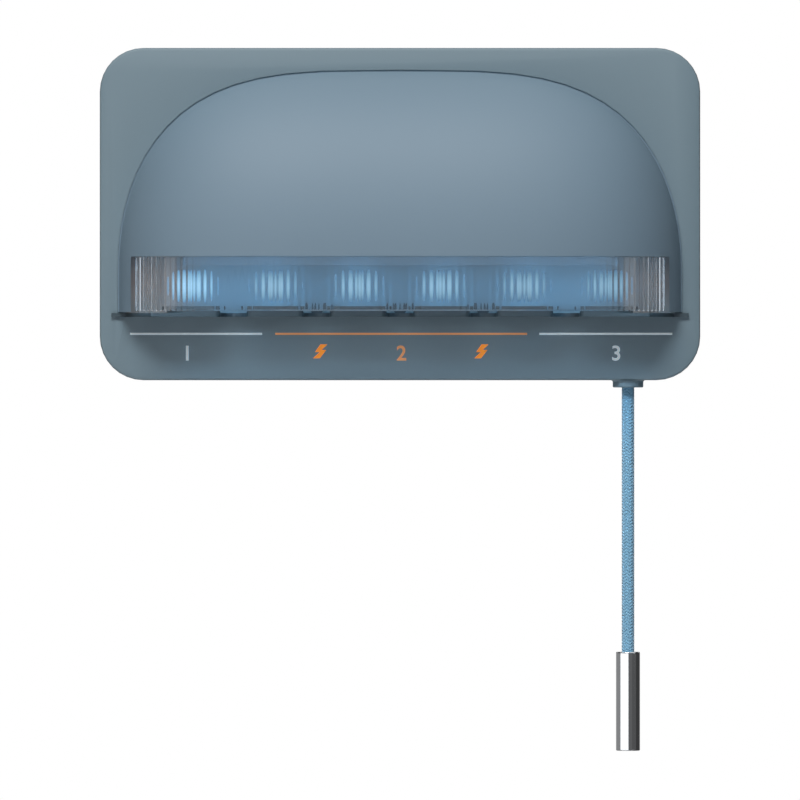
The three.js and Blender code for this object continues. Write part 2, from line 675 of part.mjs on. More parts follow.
// The window: smooth outside and ribbed inside, with a stepped flange that tucks up behind the hood.
function windowLens() {
  const halfWidth = windowHalfWidth - lens.endGap;
  const edges = ribEdges(halfWidth);
  const outer = edges.map((x) => sectionPoint(x, 0)).reverse();
  const ribbed = [];
  for (let i = 0; i + 1 < edges.length; i += 1) {
    for (let k = 0; k < ribSteps; k += 1) {
      const x = edges[i] + ((edges[i + 1] - edges[i]) * k) / ribSteps;
      const depth = lens.ribDepth * Math.sin((Math.PI * k) / ribSteps);
      ribbed.push(sectionPoint(x, lens.thickness + depth));
    }
  }
  ribbed.push(sectionPoint(halfWidth, lens.thickness));
  const bottomZ = hoodBottomZ + gap;
  const topZ = windowTopZ - gap;
  const pane = layer(shapeOf([...outer, ...ribbed]), bottomZ, topZ);
  const inner = hood.wall + lensFlange.setback;
  const flangeHalf = halfWidth - lensFlange.endMargin;
  const step = sectionBand(flangeHalf, lens.thickness / 2, inner + lensFlange.thickness);
  const lip = sectionBand(flangeHalf, inner, inner + lensFlange.thickness);
  const insideHood = hoodBody(hoodForm(hood.wall + gap, bottomZ), 0);
  return join(
    pane,
    layer(step, topZ - lensFlange.step, topZ),
    layer(lip, topZ - lensFlange.step, topZ + lensFlange.reach).intersect(insideHood),
  );
}

// One neck notch as a plan outline: a round end, straight sides and a mouth with rounded corners.
function notchOutline(x) {
  const half = notch.width / 2;
  const frontY = -(seatOut + rack.depth);
  const endY = frontY + notch.depth;
  const mouth = notch.mouthRadius;
  const shape = new THREE.Shape();
  shape.moveTo(x + half + mouth, frontY - overrun);
  shape.lineTo(x + half + mouth, frontY);
  shape.absarc(x + half + mouth, frontY + mouth, mouth, 3 * quarterTurn, 2 * quarterTurn, true);
  shape.lineTo(x + half, endY - half);
  shape.absarc(x, endY - half, half, 0, Math.PI);
  shape.lineTo(x - half, frontY + mouth);
  shape.absarc(x - half - mouth, frontY + mouth, mouth, 0, -quarterTurn, true);
  shape.lineTo(x - half - mouth, frontY - overrun);
  shape.closePath();
  return shape;
}

// The comb's plan outline, with its front corners rounded, drawn in by an inset at the front and sides.
function combOutline(inset) {
  const half = rackHalfWidth - inset;
  const frontY = -(seatOut + rack.depth - inset);
  const radius = rack.cornerRadius - inset;
  const shape = new THREE.Shape();
  shape.moveTo(half, -seatOut);
  shape.lineTo(-half, -seatOut);
  shape.lineTo(-half, frontY + radius);
  shape.absarc(-half + radius, frontY + radius, radius, Math.PI, 3 * quarterTurn);
  shape.absarc(half - radius, frontY + radius, radius, 3 * quarterTurn, fullTurn);
  shape.closePath();
  return shape;
}

// The comb's plate runs on to the sides as two shoulders, which close the chamber under the hood's inner face.
function brushRack() {
  const earHalf = housing.width / 2 - rack.earMargin;
  const frontOut = seatOut + rack.depth;
  const back = block(-earHalf, earHalf, seatOut, seatOut + rack.earProud, rackBottomZ, rackTopZ);
  const underHood = hoodBody(hoodForm(hood.wall, rackBottomZ - overrun), 0);
  const shoulders = block(-earHalf, earHalf, seatOut, frontOut, rackBottomZ, rackTopZ).intersect(underHood);
  const comb = join(shoulders, layer(combOutline(0), rackBottomZ, rackTopZ));
  const lipTop = rackTopZ + rackLip.height;
  const lipRing = cut(
    layer(combOutline(0), rackBottomZ, lipTop),
    layer(combOutline(rackLip.thickness), rackTopZ, lipTop + overrun),
    block(-earHalf, earHalf, 0, seatOut + rack.depth / 2, rackTopZ, lipTop + overrun),
  );
  const lugs = rackScrewPlaces().map(([x, z]) => post(x, z, rackLug.radius, seatOut, seatOut + rackLug.depth));
  const holes = rackScrewPlaces().map(([x, z]) => {
    return post(x, z, rackScrew.radius + gap / 2, 0, faceInnerOut - gap + rackScrew.length + gap);
  });
  const notches = Array.from({ length: notchCount }, (_, i) => {
    const x = (i - (notchCount - 1) / 2) * pitch;
    return layer(notchOutline(x), rackBottomZ - overrun, lipTop + overrun);
  });
  return cut(join(back, comb, lipRing, ...lugs), ...holes, ...notches);
}

// A lamp's domed window with the flange that seats behind the face. Its own frame starts at the flange's back.
function uvLamp() {
  const neckTop = lamp.flange + gap + housing.wall + lamp.proud;
  const dome = quarterBend(lamp.windowRadius, neckTop, 0, neckTop + lamp.dome);
  return turnedOut([
    [0, 0],
    [lamp.flangeRadius, 0],
    [lamp.flangeRadius, lamp.flange],
    [lamp.windowRadius, lamp.flange],
    ...dome,
  ], lampSides);
}

function lampCircuit() {
  const width = (lampCount - 1) * pitch + 2 * lampBoard.endMargin;
  const outline = roundedRectangle(width, lampBoard.height, lampBoard.cornerRadius, 0, lampZ);
  const holes = lampPegPlaces().map(([x, z]) => post(x, z, peg.radius + peg.slack, 0, faceOut));
  return cut(slab(outline, lampBoardTopOut - lampBoard.thickness, lampBoardTopOut), ...holes);
}

// The chamber's ceiling follows the hood's inner face, and stands on two lugs against the case.
function chamberCeiling() {
  const topZ = ceilingZ + ceiling.thickness;
  const inset = hood.wall + ceiling.slack;
  const inner = hoodBody(hoodForm(inset, ceilingZ - overrun), 0);
  const reach = hoodHalfWidth + hood.rise;
  const sheet = block(-reach, reach, seatOut, seatOut + hood.rise + overrun, ceilingZ, topZ);
  const lugs = [-1, 1].map((side) => {
    const x = side * ceiling.lugOffset;
    const outline = roundedRectangle(
      ceiling.lugWidth, ceiling.lugHeight + ceiling.thickness, ceiling.thickness / 2,
      x, ceilingZ + (ceiling.lugHeight + ceiling.thickness) / 2,
    );
    return slab(outline, seatOut, seatOut + ceiling.lugThickness);
  });
  return join(sheet.intersect(inner), ...lugs);
}

// The cradle lets the cell down through the face into the case, behind the hood.
const cellOut = pocketTopOut + 2 * gap + cradle.wall + cell.radius;

function cradleBay() {
  return { halfX: cradleHalfLength + gap, halfZ: cell.radius + gap + cradle.wall + gap };
}

function batteryCradle() {
  const innerRadius = cell.radius + gap;
  const outerRadius = innerRadius + cradle.wall;
  const flangeOut = seatOut + cradle.flangeHeight;
  const halfZ = outerRadius + cradle.flange;
  const tub = cut(
    cylinderAlongX(outerRadius, cradleHalfLength),
    cylinderAlongX(innerRadius, cradleHalfLength - cradle.wall),
  );
  const reach = cradleHalfLength + overrun;
  const below = block(-reach, reach, 0, flangeOut, cellZ - halfZ, cellZ + halfZ);
  const flange = cut(
    block(-cradleHalfLength, cradleHalfLength, seatOut, flangeOut, cellZ - halfZ, cellZ + halfZ),
    cylinderAlongX(innerRadius, cradleHalfLength - cradle.wall),
  );
  return join(tub.intersect(below), flange);
}

// A round body along X on the cell's axis.
function cylinderAlongX(radius, halfLength) {
  const geometry = new THREE.CylinderGeometry(radius, radius, 2 * halfLength, turnSides);
  geometry.rotateZ(quarterTurn);
  geometry.translate(0, -cellOut, cellZ);
  return solid(geometry);
}

// The cell lies along X: a can with rounded ends and a raised contact.
function batteryCell() {
  const { radius, length, edgeRadius, nippleRadius, nippleHeight } = cell;
  const canEnd = length / 2 - nippleHeight;
  const points = [
    [0, -length / 2],
    [radius - edgeRadius, -length / 2],
    [radius, -length / 2 + edgeRadius],
    [radius, canEnd - edgeRadius],
    [radius - edgeRadius, canEnd],
    [nippleRadius, canEnd],
    [nippleRadius, length / 2],
    [0, length / 2],
  ].map(([r, along]) => new THREE.Vector2(r, along));
  const geometry = new THREE.LatheGeometry(points, turnSides);
  geometry.rotateZ(-quarterTurn);
  return solid(geometry);
}

function controlBoard() {
  const outline = roundedRectangle(boardWidth, boardHeight, board.cornerRadius, boardX, boardZ);
  const back = boardTopOut - board.thickness;
  const chips = chipShares.map((share) => {
    const [x, z] = [boardX + share.x * boardWidth, boardZ + share.z * boardHeight];
    const [halfX, halfZ] = [(share.width * boardWidth) / 2, (share.height * boardHeight) / 2];
    return block(x - halfX, x + halfX, back - chipHeight, back, z - halfZ, z + halfZ);
  });
  const holes = boardPegPlaces().map(([x, z]) => post(x, z, peg.radius + peg.slack, 0, faceOut));
  return cut(join(slab(outline, back, boardTopOut), ...chips), ...holes);
}

// The charging socket: a rounded metal shell with a tongue, open through the case's left side.
function usbSocket() {
  const mouthX = -housing.width / 2 + socket.setback;
  const endX = mouthX + socket.length;
  const shell = alongX(socketSlot(0), mouthX, endX, socketOut, boardZ);
  const mouth = alongX(socketSlot(-socket.shell), mouthX - overrun, endX - 2 * socket.shell, socketOut, boardZ);
  const halfTongue = socket.width / 2 - socket.tongueMargin;
  const tongue = block(
    mouthX + socket.tongueMargin, endX - socket.shell,
    socketOut - socket.tongue / 2, socketOut + socket.tongue / 2,
    boardZ - halfTongue, boardZ + halfTongue,
  );
  return join(cut(shell, mouth), tongue);
}

// The grommet snaps into the case's floor. Its bore opens into a bell, so that the cord can swing.
function cordGrommet() {
  const { flangeRadius, flare, foot, neckRadius } = grommet;
  const bellTop = flangeBottomZ + bell.height;
  const mouth = quarterBend(boreRadius, bellTop, bell.mouthRadius, flangeBottomZ);
  const fillet = quarterBend(flangeRadius, flangeTopZ - flare, flangeRadius + flare, flangeTopZ);
  return turned([
    ...mouth,
    [flangeRadius - foot, flangeBottomZ],
    [flangeRadius, flangeBottomZ + foot],
    ...fillet,
    [neckRadius, flangeTopZ],
    [neckRadius, neckTopZ],
    [collarRadius, neckTopZ],
    [collarRadius - foot, collarTopZ],
    [boreRadius, collarTopZ],
    [boreRadius, bellTop],
  ]);
}

// A straight stretch of cord down the shared axis, through the given heights.
function cordTube(heights) {
  const route = new THREE.CatmullRomCurve3(heights.map((z) => new THREE.Vector3(0, 0, z)));
  return solid(new THREE.ExtrudeGeometry(regularPolygon(cordRadius, cordSides), {
    steps: heights.length - 1,
    extrudePath: route,
  }));
}

function regularPolygon(radius, sides) {
  return shapeOf(Array.from({ length: sides }, (_, i) => {
    const turn = (fullTurn * i) / sides;
    return [radius * Math.cos(turn), radius * Math.sin(turn)];
  }));
}

function ball(radius, z) {
  const geometry = new THREE.SphereGeometry(radius, cordSides, cordSides / 2);
  geometry.rotateX(quarterTurn);
  geometry.translate(0, 0, z);
  return solid(geometry);
}

// The free cord starts with a round end at the bend, so that it turns there without catching.
function pullCord() {
  return join(cordTube(cordDrops.map((drop) => pivotZ - drop)), ball(cordRadius * ballShare, pivotZ));
}

function innerCord() {
  const topZ = sliderTopZ - slider.pocketDepth;
  return cut(cordTube([topZ, pivotZ]), ball(cordRadius + gap, pivotZ));
}

function pullWeight() {
  const { radius, length, edgeRadius, bore } = weight;
  const bottomZ = weightTopZ - length;
  const lowerEdge = quarterBend(radius, bottomZ + edgeRadius, radius - edgeRadius, bottomZ).reverse();
  const upperEdge = quarterBend(radius, weightTopZ - edgeRadius, radius - edgeRadius, weightTopZ);
  return turned([
    [0, bottomZ],
    ...lowerEdge,
    ...upperEdge,
    [boreRadius, weightTopZ],
    [boreRadius, weightTopZ - bore],
    [0, weightTopZ - bore],
  ]);
}

function cordKnot() {
  const bottomZ = sliderTopZ - slider.pocketDepth + gap;
  const topZ = bottomZ + knot.height;
  const { radius, shoulder } = knot;
  return turned([
    [0, bottomZ],
    [radius - shoulder, bottomZ],
    [radius, bottomZ + shoulder],
    [radius, topZ - 2 * shoulder],
    [radius - shoulder, topZ - shoulder / 2],
    [radius - 2 * shoulder, topZ],
    [0, topZ],
  ]);
}

// The spring's centre line: even turns about the cord, from wire radius above its foot to the same below its top.
class SpringLine extends THREE.Curve {
  getPoint(t, target = new THREE.Vector3()) {
    const turn = fullTurn * springTurns * t;
    const wireRadius = spring.wire / 2;
    const z = springBottomZ + wireRadius + (springLength - spring.wire) * t;
    return target.set(spring.radius * Math.cos(turn), spring.radius * Math.sin(turn), z);
  }
}

function returnSpring() {
  return solid(new THREE.ExtrudeGeometry(regularPolygon(spring.wire / 2, springSides), {
    steps: springTurns * springSteps,
    extrudePath: new SpringLine(),
  }));
}

// The slider carries the cord's knot. Its ramp pushes the switch's plunger aside as the cord is pulled.
function pullSlider() {
  const half = slider.width / 2;
  const rampTopX = -half - camSlopeShare * (slider.height - camFoot);
  const outline = shapeOf([
    [half, sliderBottomZ],
    [half, sliderTopZ],
    [rampTopX, sliderTopZ],
    [-half, sliderBottomZ + camFoot],
    [-half, sliderBottomZ],
  ]);
  const nearOut = coverInnerOut - cordOut + slider.sideGap;
  const farOut = faceInnerOut - cordOut - slider.sideGap;
  const body = slab(outline, nearOut, farOut);
  const bore = column(0, 0, boreRadius, sliderBottomZ - overrun, sliderTopZ);
  const pocket = column(0, 0, pocketRadius, sliderTopZ - slider.pocketDepth, sliderTopZ + overrun);
  const slot = block(-boreRadius, boreRadius, nearOut - overrun, 0, sliderBottomZ - overrun, sliderTopZ + overrun);
  const keyHalf = sliderKey.width / 2 + sliderKey.clearance;
  const keyway = block(
    sliderKey.offset - keyHalf, sliderKey.offset + keyHalf,
    farOut - sliderKey.height, farOut + overrun,
    sliderBottomZ - overrun, sliderTopZ + overrun,
  );
  return cut(body, bore, pocket, slot, keyway);
}

const plungerTravel = camSlopeShare * cord.travel;

// Centre of the plunger's round tip, which clears the ramp by the usual gap measured square to it.
function plungerTipX() {
  const rampX = -slider.width / 2 - camSlopeShare * plunger.lead;
  return rampX - (plunger.radius + gap) * Math.hypot(1, camSlopeShare);
}

// The plunger lies along X, and its own frame starts at the tip's centre.
function switchPlunger() {
  const tailX = microFaceX - plunger.tail - plungerTipX();
  const dome = quarterBend(plunger.radius, 0, 0, plunger.radius);
  const points = [[0, tailX], [plunger.radius, tailX], ...dome]
    .map(([radius, along]) => new THREE.Vector2(radius, along));
  const geometry = new THREE.LatheGeometry(points, roundSides);
  geometry.rotateZ(-quarterTurn);
  return solid(geometry);
}

// The microswitch, placed from the cord's axis: a chamfered body with two fixing holes and three flat terminals.
function microSwitch() {
  const { width, height, depth, chamfer } = micro;
  const [left, right] = [microFaceX - width, microFaceX];
  const [bottom, top] = [microZ - height / 2, microZ + height / 2];
  const outline = shapeOf([
    [right, bottom + chamfer],
    [right, top - chamfer],
    [right - chamfer, top],
    [left + chamfer, top],
    [left, top - chamfer],
    [left, bottom + chamfer],
    [left + chamfer, bottom],
    [right - chamfer, bottom],
  ]);
  const pins = [-1, 0, 1].map((place) => {
    const z = microZ + place * microPin.spacing;
    return block(
      left - microPin.length, left + chamfer, -microPin.width / 2, microPin.width / 2,
      z - microPin.thickness / 2, z + microPin.thickness / 2,
    );
  });
  const wellRadius = plunger.radius + gap;
  const wellDepth = plunger.tail + plungerTravel + plunger.slack;
  const well = new THREE.CylinderGeometry(wellRadius, wellRadius, wellDepth + overrun, roundSides);
  well.rotateZ(quarterTurn);
  well.translate(right + (overrun - wellDepth) / 2, 0, microZ);
  const holes = microPegPlaces().map(([x, z]) => post(x, z, microHole.radius, -depth, depth));
  return cut(join(slab(outline, -depth / 2, depth / 2), ...pins), ...holes, solid(well));
}

function addScrews(group, name, places, size, out, finish) {
  places.forEach(([x, z], i) => {
    group.add(piece(`${name}_${i + 1}`, screw(size), finish, x, out, z));
  });
}

function wallGroup() {
  const group = new THREE.Group();
  group.add(piece('adhesive_pad', adhesivePad(), finishes.foam));
  group.add(piece('wall_bracket', wallBracket(), finishes.steel));
  return group;
}

function caseGroup() {
  const group = new THREE.Group();
  group.add(piece('rear_cover', rearCover(), finishes.shell));
  group.add(piece('front_housing', frontHousing(), finishes.shell));
  const coverSeat = backOut + coverScrew.sink + coverScrew.headHeight;
  addScrews(group, 'cover_screw', coverScrewPlaces(), coverScrew, coverSeat, finishes.steel);
  return group;
}

function hoodGroup() {
  const group = new THREE.Group();
  group.add(piece('hood', hoodShell(), finishes.hoodShell));
  group.add(piece('window_lens', windowLens(), finishes.clear));
  group.add(piece('chamber_ceiling', chamberCeiling(), finishes.innerWhite));
  addScrews(group, 'hood_screw', hoodPostPlaces(), hoodScrew, hoodScrewSeatOut(), finishes.steel);
  return group;
}

function chamberGroup() {
  const group = new THREE.Group();
  group.add(piece('brush_rack', brushRack(), finishes.rackShell));
  addScrews(group, 'rack_screw', rackScrewPlaces(), rackScrew, hoodScrewSeatOut(), finishes.steel);
  lampPlaces().forEach(([x, z], i) => {
    group.add(piece(`uv_lamp_${i + 1}`, uvLamp(), finishes.lampGlass, x, lampBackOut, z));
  });
  group.add(piece('lamp_board', lampCircuit(), finishes.circuit));
  return group;
}

function powerGroup() {
  const group = new THREE.Group();
  group.add(piece('battery_cell', batteryCell(), finishes.cellWrap, 0, cellOut, cellZ));
  group.add(piece('battery_cradle', batteryCradle(), finishes.darkPlastic));
  group.add(piece('control_board', controlBoard(), finishes.circuit));
  group.add(piece('usb_socket', usbSocket(), finishes.steel));
  return group;
}

// The pull switch is modelled about the cord's axis, and the group carries it to its place.
function switchGroup() {
  const group = new THREE.Group();
  group.position.set(cordX, -cordOut, 0);
  group.add(piece('cord_grommet', cordGrommet(), finishes.rubber));
  group.add(piece('return_spring', returnSpring(), finishes.steel));
  group.add(piece('pull_slider', pullSlider(), finishes.slidePlastic));
  group.add(piece('cord_knot', cordKnot(), finishes.braid));
  group.add(piece('cord_inner', innerCord(), finishes.braid));
  group.add(piece('pull_cord', pullCord(), finishes.braid));
  group.add(piece('pull_weight', pullWeight(), finishes.chrome));
  group.add(piece('microswitch', microSwitch(), finishes.darkPlastic));
  group.add(piece('switch_plunger', switchPlunger(), finishes.red, plungerTipX(), 0, microZ));
  return group;
}

const sterilizer = new THREE.Group();
sterilizer.add(wallGroup(), caseGroup(), hoodGroup(), chamberGroup(), powerGroup(), switchGroup());

export default sterilizer;
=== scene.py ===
"""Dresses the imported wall-hung toothbrush sterilizer: shells, ribbed window, lit lamps, braided pull cord."""

import logging
import math
from collections.abc import Callable, Iterable, Sequence
from dataclasses import dataclass, replace
from enum import Enum

import bmesh
import bpy
from mathutils import Matrix, Vector


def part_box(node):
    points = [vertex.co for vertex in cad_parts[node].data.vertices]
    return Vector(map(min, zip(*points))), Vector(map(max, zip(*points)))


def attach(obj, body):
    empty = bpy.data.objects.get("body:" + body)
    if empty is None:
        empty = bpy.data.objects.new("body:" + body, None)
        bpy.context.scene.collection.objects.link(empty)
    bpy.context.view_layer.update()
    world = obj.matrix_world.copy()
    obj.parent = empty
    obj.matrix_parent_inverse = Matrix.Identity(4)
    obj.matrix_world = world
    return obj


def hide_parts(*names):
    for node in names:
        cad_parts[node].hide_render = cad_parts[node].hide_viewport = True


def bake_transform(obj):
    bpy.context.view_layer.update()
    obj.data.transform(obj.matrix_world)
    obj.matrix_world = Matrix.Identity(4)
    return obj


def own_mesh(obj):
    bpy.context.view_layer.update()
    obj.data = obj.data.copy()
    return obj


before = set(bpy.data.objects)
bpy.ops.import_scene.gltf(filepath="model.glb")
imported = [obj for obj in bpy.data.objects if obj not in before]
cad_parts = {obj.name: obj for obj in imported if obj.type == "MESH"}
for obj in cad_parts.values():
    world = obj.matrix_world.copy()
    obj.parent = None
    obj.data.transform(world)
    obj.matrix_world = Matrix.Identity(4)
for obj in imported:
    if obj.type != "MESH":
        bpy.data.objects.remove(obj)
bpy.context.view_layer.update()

MM = 0.001
FULL_TURN = 2 * math.pi
QUARTER_TURN = math.pi / 2
CREASE_DEGREES = 32  # edges that turn more than this stay sharp
WELD = 1e-7  # points of the scene's own meshes that lie closer than this, in metres, become one
CAD_WELD = 1e-6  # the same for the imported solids
SLIVER = 1e-8  # edges shorter than this, in metres, go
WHITE = (1.0, 1.0, 1.0, 1.0)
MIX_A, MIX_B, MIX_RESULT = 6, 7, 2  # colour sockets of the Mix node
STRAND_MAP = "strand"
log = logging.getLogger("sterilizer")

Point = tuple[float, float, float]
Pair = tuple[float, float]
Face = tuple[int, ...]
Shape = tuple[list[Point], list[Face]]
Colour = tuple[float, float, float, float]
Tree = bpy.types.NodeTree
Node = bpy.types.Node
Socket = bpy.types.NodeSocket


class Body(Enum):
    """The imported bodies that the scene's own pieces ride on."""

    CASE = "case"
    SLIDER = "slider"
    CORD = "cord"


class Slot(Enum):
    """Names of the record's material slots; the scene's own pieces are not given them here."""

    HOOD = "hood_shell"
    LENS = "lens_clear"
    CORD = "cord_braid"
    CHROME = "weight_chrome"
    SCREW = "screw_steel"
    WHITE_INK = "print_white"
    ORANGE_INK = "print_orange"
    STEEL = "steel"
    RUBBER = "grommet_rubber"


def linear(colour: str, factor: float = 1.0) -> Colour:
    """Turns an sRGB hex colour into linear light.

    Args:
        colour: Six hex digits after a #.
        factor: Makes it darker or lighter.

    Returns:
        Linear red, green and blue, and an alpha of 1.
    """
    parts = [int(colour[i : i + 2], 16) / 255 for i in (1, 3, 5)]
    red, green, blue = [p / 12.92 if p <= 0.04045 else ((p + 0.055) / 1.055) ** 2.4 for p in parts]
    return (red * factor, green * factor, blue * factor, 1.0)


def per_metre(spacing_mm: float) -> float:
    """Returns the texture scale that repeats a pattern at a spacing in millimetres."""
    return 1 / (spacing_mm * MM)


def add_node(
    tree: Tree,
    kind: str,
    settings: dict[str, object] | None = None,
    values: dict[str | int, object] | None = None,
    links: dict[str | int, Socket] | None = None,
) -> Node:
    """Adds one node with its settings and links.

    Args:
        tree: The node tree that takes the node.
        kind: The node's type name.
        settings: Attributes to set on the node.
        values: Values to set on input sockets, by name or place.
        links: Output sockets to link to input sockets, by name or place.

    Returns:
        The new node.
    """
    node = tree.nodes.new(kind)
    for name, value in (settings or {}).items():
        setattr(node, name, value)
    for socket, value in (values or {}).items():
        node.inputs[socket].default_value = value
    for socket, source in (links or {}).items():
        tree.links.new(source, node.inputs[socket])
    return node


def empty_tree(owner: bpy.types.Material | bpy.types.World) -> Tree:
    """Turns on the nodes of a material or world, and clears them.

    Args:
        owner: The material or world.

    Returns:
        Its empty node tree.
    """
    owner.use_nodes = True
    owner.node_tree.nodes.clear()
    return owner.node_tree


def relief(tree: Tree, shader: Node, height: Socket, depth_mm: float, strength: float = 1.0) -> None:
    """Turns a pattern into a shader's relief.

    Args:
        tree: The material's node tree.
        shader: The Principled node.
        height: The pattern.
        depth_mm: How high it stands.
        strength: How much of that shows.
    """
    values = {"Strength": strength, "Distance": depth_mm * MM}
    bump = add_node(tree, "ShaderNodeBump", values=values, links={"Height": height})
    tree.links.new(bump.outputs["Normal"], shader.inputs["Normal"])


def tones(tree: Tree, shader: Node, pattern: Socket, dark: Colour, light: Colour) -> None:
    """Lets a shader's colour run from a dark to a light tone over a pattern.

    Args:
        tree: The material's node tree.
        shader: The Principled node.
        pattern: 0 for the dark tone, 1 for the light one.
        dark: The dark tone.
        light: The light tone.
    """
    ends = {MIX_A: dark, MIX_B: light}
    mix = add_node(tree, "ShaderNodeMix", {"data_type": "RGBA"}, ends, {"Factor": pattern})
    tree.links.new(mix.outputs[MIX_RESULT], shader.inputs["Base Color"])


def grain(tree: Tree, shader: Node, place: Socket, spacing_mm: float, depth_mm: float) -> None:
    """Gives a shader a fine random relief.

    Args:
        tree: The material's node tree.
        shader: The Principled node.
        place: The coordinates to read.
        spacing_mm: The grain's size.
        depth_mm: The grain's height.
    """
    values = {"Scale": per_metre(spacing_mm), "Detail": 2.0}
    noise = add_node(tree, "ShaderNodeTexNoise", values=values, links={"Vector": place})
    relief(tree, shader, noise.outputs["Fac"], depth_mm)


def drift(tree: Tree, shader: Node, place: Socket, colour: str, spacing_mm: float, share: float) -> None:
    """Lets a shader's colour drift a little over the surface.

    Args:
        tree: The material's node tree.
        shader: The Principled node.
        place: The coordinates to read.
        colour: The middle colour.
        spacing_mm: How far apart the tones lie.
        share: How much darker and lighter they get.
    """
    values = {"Scale": per_metre(spacing_mm), "Detail": 1.0}
    noise = add_node(tree, "ShaderNodeTexNoise", values=values, links={"Vector": place})
    tones(tree, shader, noise.outputs["Fac"], linear(colour, 1 - share), linear(colour, 1 + share))


@dataclass(frozen=True)
class Finish:
    """A real material with its surface, as one node material."""

    name: str
    colour: str
    roughness: float

    def material(self) -> bpy.types.Material:
        """Makes the material, or returns the one made before.

        Returns:
            The node material.
        """
        made = bpy.data.materials.get(self.name)
        if made is not None:
            return made
        made = bpy.data.materials.new(self.name)
        tree = empty_tree(made)
        values = {"Base Color": linear(self.colour), "Roughness": self.roughness}
        shader = add_node(tree, "ShaderNodeBsdfPrincipled", values=values)
        self.dress(tree, shader, add_node(tree, "ShaderNodeTexCoord").outputs["Object"])
        add_node(tree, "ShaderNodeOutputMaterial", links={"Surface": self.surface(tree, shader)})
        return made

    def dress(self, tree: Tree, shader: Node, place: Socket) -> None:
        """Adds this finish's own pattern and relief to the shader, if it has any.

        Args:
            tree: The material's node tree.
            shader: The Principled node.
            place: The piece's own coordinates, in metres.
        """

    def surface(self, tree: Tree, shader: Node) -> Socket:
        """Returns the socket that the output shows."""
        return shader.outputs["BSDF"]


@dataclass(frozen=True)
class MouldedPlastic(Finish):
    """Plastic from a spark-eroded mould: an even satin with a very fine grain."""

    grain_mm: float = 0.5  # coarser than the real 0.1 mm, so that it shows
    depth_mm: float = 0.004
    drift_mm: float = 90
    drift_share: float = 0.02
    ior: float = 1.53

    def dress(self, tree: Tree, shader: Node, place: Socket) -> None:
        """Adds the mould's grain and a slow drift of tone.

        Args:
            tree: The material's node tree.
            shader: The Principled node.
            place: The piece's own coordinates.
        """
        shader.inputs["IOR"].default_value = self.ior
        drift(tree, shader, place, self.colour, self.drift_mm, self.drift_share)
        grain(tree, shader, place, self.grain_mm, self.depth_mm)


@dataclass(frozen=True)
class MouldedAbs(MouldedPlastic):
    """Moulded ABS: the case's soft satin, without a sharp highlight."""


@dataclass(frozen=True)
class MouldedRubber(MouldedPlastic):
    """Moulded rubber: duller than the case, so the grommet reads as soft."""

    ior: float = 1.5


@dataclass(frozen=True)
class MouldedAcetal(MouldedPlastic):
    """Moulded acetal: a waxy white with a low gloss."""

    ior: float = 1.48


@dataclass(frozen=True)
class MouldedNylon(MouldedPlastic):
    """Moulded nylon, dyed through: an even colour with a low gloss."""


@dataclass(frozen=True)
class FoamTape(MouldedPlastic):
    """Closed-cell foam tape: matt, with pits where the cells are cut."""

    grain_mm: float = 0.7
    depth_mm: float = 0.2


@dataclass(frozen=True)
class ShrinkFilm(MouldedPlastic):
    """Plastic film shrunk round a cell: glossy, with slow wrinkles."""

    grain_mm: float = 7
    depth_mm: float = 0.15


@dataclass(frozen=True)
class MeltedPolyester(MouldedPlastic):
    """A cord's end sealed by heat: the yarn's blue, darker and lumpy."""

    grain_mm: float = 0.8
    depth_mm: float = 0.08


@dataclass(frozen=True)
class ClearPolycarbonate(Finish):
    """Polished clear polycarbonate, tinted a little blue: its ribs draw the lamps out into streaks."""

    ior: float = 1.585
    draw_mm: float = 1.6  # between the faint upright lines that the mould's polishing leaves
    draw_depth_mm: float = 0.006
    draw_stretch: float = 0.01

    def dress(self, tree: Tree, shader: Node, place: Socket) -> None:
        """Makes the shader clear, with the slight upright waves of a moulded pane.

        Args:
            tree: The material's node tree.
            shader: The Principled node.
            place: The piece's own coordinates.
        """
        shader.inputs["IOR"].default_value = self.ior
        shader.inputs["Transmission Weight"].default_value = 1.0
        stretch = {"Scale": (1, 1, self.draw_stretch)}
        drawn = add_node(tree, "ShaderNodeMapping", values=stretch, links={"Vector": place})
        grain(tree, shader, drawn.outputs["Vector"], self.draw_mm, self.draw_depth_mm)

    def surface(self, tree: Tree, shader: Node) -> Socket:
        """Lets rays from the lamps straight through, so that they light what is behind the pane.

        Args:
            tree: The material's node tree.
            shader: The Principled node.

        Returns:
            The socket of the mixed shader.
        """
        clear = add_node(tree, "ShaderNodeBsdfTransparent", values={"Color": linear(self.colour)})
        straight = add_node(tree, "ShaderNodeLightPath").outputs["Is Shadow Ray"]
        links = {"Fac": straight, 1: shader.outputs["BSDF"], 2: clear.outputs["BSDF"]}
        return add_node(tree, "ShaderNodeMixShader", links=links).outputs["Shader"]


